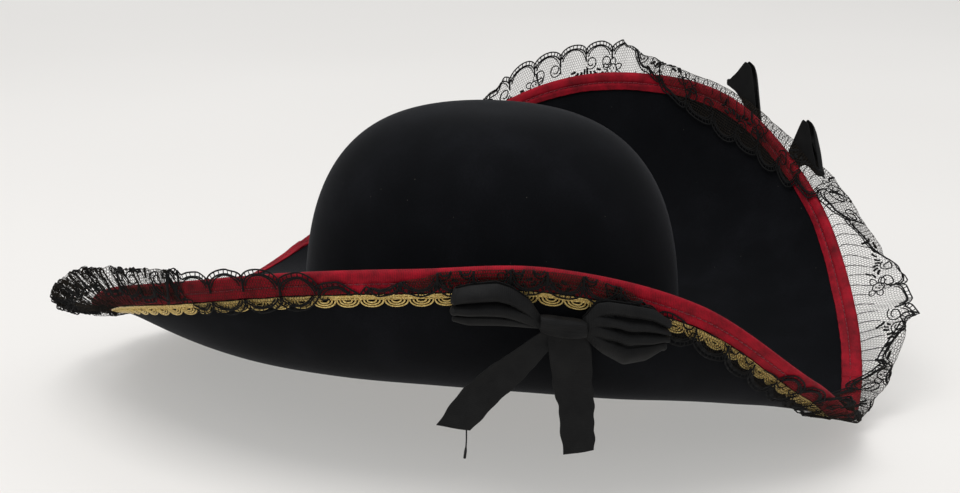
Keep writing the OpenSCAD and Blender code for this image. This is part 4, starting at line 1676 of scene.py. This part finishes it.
    def build(self) -> list[bpy.types.Object]:
        """Build every piece of the bow."""
        top = self.tail_drop + 2.4
        front_left = np.array([[-6.6, top], [-5.4, -6], [-3.0, -21], [-0.2, -34], [1.5, -53.4]])
        front_right = np.array([[11.2, top], [13.6, -5], [14.7, -23], [15.8, -38], [15.4, -52]])
        rear_left = np.array([[-7.6, top], [-20, -2.6], [-30, -9.6], [-42.6, -19.4],
                              [-55.2, -35.6]])
        rear_right = np.array([[2.0, 2.0], [-7.0, -5.5], [-15, -15.6], [-27, -26.5],
                               [-40.2, -39.0]])
        pieces = [self.loop("front_loop", self.front, 1), self.loop("rear_loop", self.rear, -1),
                  self.knot(), self.tack(),
                  self.tail("front_tail", front_left, front_right, f"{self.label}_front_tail"),
                  self.tail("rear_tail", rear_left, rear_right, f"{self.label}_rear_tail")]
        for piece, shape in ((pieces[0], self.front), (pieces[1], self.rear)):
            width, length, area = shape.cut
        return pieces

    def loose_thread(self) -> bpy.types.Object:
        """Build the thread that hangs from the rear tail's cut end."""
        a = np.linspace(0, 1, 24)
        x = -41.8 + 0.5 * np.sin(2.2 * a) - 1.2 * a
        z = -38.6 - 13.4 * a
        path = self.hang(x, z, 0.4 + 0.3 * np.sin(5 * a))[None]
        normal = np.broadcast_to(self.hang(np.zeros(24), 0, 1) - self.pin, path.shape[1:])[None]
        thick = (0.34 + 0.28 * ease((a - 0.55) / 0.2))[None]
        sheet = Sheet()
        sheet.add_tubes(path, np.array(normal), thick, 6)
        thread = sheet.build(f"{self.label}_loose_thread", dress(Finish.BLACK_THREAD))
        return settle(thread, "black_thread", body=f"{self.label}_rear_tail")


# ---- Stage --------------------------------------------------------------


@dataclass
class Studio:
    """Pale floor, soft light and the camera."""

    floor_height: float = -0.0415
    floor_size: float = 14.0
    target: Vector = field(default_factory=lambda: Vector((0.0, 0.0, 0.060)))
    distance: float = 0.980
    elevation: float = 14.4
    azimuth: float = -69.0
    lens: float = 70.19

    def build(self) -> None:
        """Build the stage."""
        self._floor()
        self._lights()
        self._camera()

    def _floor(self) -> None:
        """Lay the floor."""
        half = self.floor_size / 2
        steps = np.linspace(-half, half, 3) / MM
        x, y = np.meshgrid(steps, steps, indexing="ij")
        grid = np.stack([x, y, 0 * x + self.floor_height / MM], -1)
        sheet = Sheet()
        sheet.add_grid(grid, np.stack([x, y], -1), flip=True)
        material, tree, shader = new_material("pale_paper_floor")
        place = put(tree, "TexCoord").outputs["Object"]
        tone = put(tree, "TexNoise", {"Vector": place, "Scale": 1.5, "Detail": 2.0})
        colour = ramp(tree, tone.outputs["Fac"], [(0.2, "#b2afac"), (0.8, "#bab7b4")])
        tree.links.new(colour, shader.inputs["Base Color"])
        # Seamless paper lit from behind, so that the shadows on it stay pale
        shader.inputs["Emission Color"].default_value = linear("#efeeeb")
        shader.inputs["Emission Strength"].default_value = 0.41
        shader.inputs["Roughness"].default_value = 0.8
        shader.inputs["Specular IOR Level"].default_value = 0.2
        sheet.build("studio_floor", material)

    def _lights(self) -> None:
        """Hang a broad soft light over the hat, with a fill and a pale room."""
        world = bpy.data.worlds.new("studio_room")
        world.use_nodes = True
        background = world.node_tree.nodes["Background"]
        background.inputs["Color"].default_value = linear("#eef0f2")
        background.inputs["Strength"].default_value = 0.72
        bpy.context.scene.world = world
        for name, place, size, power in (("overhead", (-0.5, 0.2, 1.9), 1.2, 25.0),
                                         ("window", (-1.7, -1.3, 1.2), 1.3, 3.0),
                                         ("fill", (-0.9, 1.7, 0.9), 1.2, 2.0)):
            light = bpy.data.lights.new(name, "AREA")
            light.shape = "SQUARE"
            light.size = size
            light.energy = power
            lamp = bpy.data.objects.new(name, light)
            lamp.location = place
            aim = self.target - Vector(place)
            lamp.rotation_euler = aim.to_track_quat("-Z", "Y").to_euler()
            bpy.context.scene.collection.objects.link(lamp)
        bpy.context.scene.view_settings.view_transform = "Standard"

    def _camera(self) -> None:
        """Set the camera a step to the wearer's right of the front."""
        camera = bpy.data.cameras.new("camera")
        camera.lens = self.lens
        camera.sensor_width = 36.0
        camera.shift_x = -0.0104
        camera.shift_y = -0.0456
        camera.clip_start = 0.05
        holder = bpy.data.objects.new("camera", camera)
        e, a = math.radians(self.elevation), math.radians(self.azimuth)
        back = Vector((math.sin(a) * math.cos(e), -math.cos(a) * math.cos(e), math.sin(e)))
        holder.location = self.target + back * self.distance
        holder.rotation_euler = (-back).to_track_quat("-Z", "Y").to_euler()
        bpy.context.scene.collection.objects.link(holder)
        bpy.context.scene.camera = holder


def main() -> None:
    """Build every piece of the hat and its stage."""
    logging.basicConfig(level=logging.INFO, format="%(message)s")
    Studio().build()
    form = BrimForm()
    felt = FeltBody(form)
    pieces = [felt.crown(), felt.brim()]
    binding = EdgeBinding(form)
    pieces += [binding.tape(), binding.stitching(), GoldBraid(form).build()]
    lace = Lace(form)
    nets, figures = lace.pieces()
    for k, (net, figure) in enumerate(zip(nets, figures)):
        width, length, area = lace.cut(k)
        log.info("%s cut %.3f by %.3f m, thread area %.5f", net.name, width, length, area)
    pieces += nets + figures
    band = Sweatband(form)
    pieces += [band.band(), band.stitching()]
    right = Bow(form, Side.RIGHT, 301.0, 20.0,
                front=LoopShape(((8.6, -3.4, 3.6, 3.0), (13.5, -7.8, 12.2, 4.6),
                                 (18.0, -10.6, 13.9, 6.0), (27.0, -13.6, 14.6, 7.6),
                                 (36.0, -9.0, 15.0, 7.0), (42.5, -2.6, 12.0, 4.5)),
                                ((0.27, 5.5, 0.07), (0.50, 7.0, 0.06), (0.70, 7.5, 0.07)), 1.0),
                rear=LoopShape(((8.6, -3.2, 1.5, 3.0), (14.0, -3.0, 9.8, 4.8),
                                (22.0, -2.2, 15.4, 6.8), (28.0, -1.6, 17.6, 8.0),
                                (40.0, -0.9, 16.8, 8.0), (45.5, 0.5, 15.6, 6.5)),
                               ((0.16, 4.5, 0.10), (0.50, 7.0, 0.09)), -1.5))
    upright = ((8.6, -3.0, 3.4, 3.0), (14.0, 6.0, 24.0, 5.0), (19.0, 15.0, 42.0, 6.5),
               (23.0, 20.0, 43.0, 7.0), (28.0, 23.0, 34.0, 6.5), (33.0, 24.0, 27.0, 5.0))
    left = Bow(form, Side.LEFT, 52.0, 18.0,
               front=LoopShape(upright, ((0.5, 3.0, 0.12),)),
               rear=LoopShape(upright, ((0.45, 3.0, 0.12),)), tail_drop=9.0)
    pieces += right.build() + [right.loose_thread()] + left.build()
    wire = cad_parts["brim_wire"]
    wire.data.materials.clear()
    wire.data.materials.append(dress(Finish.WIRE))
    for piece in pieces:
        report(piece)


if __name__ == "__main__":
    main()
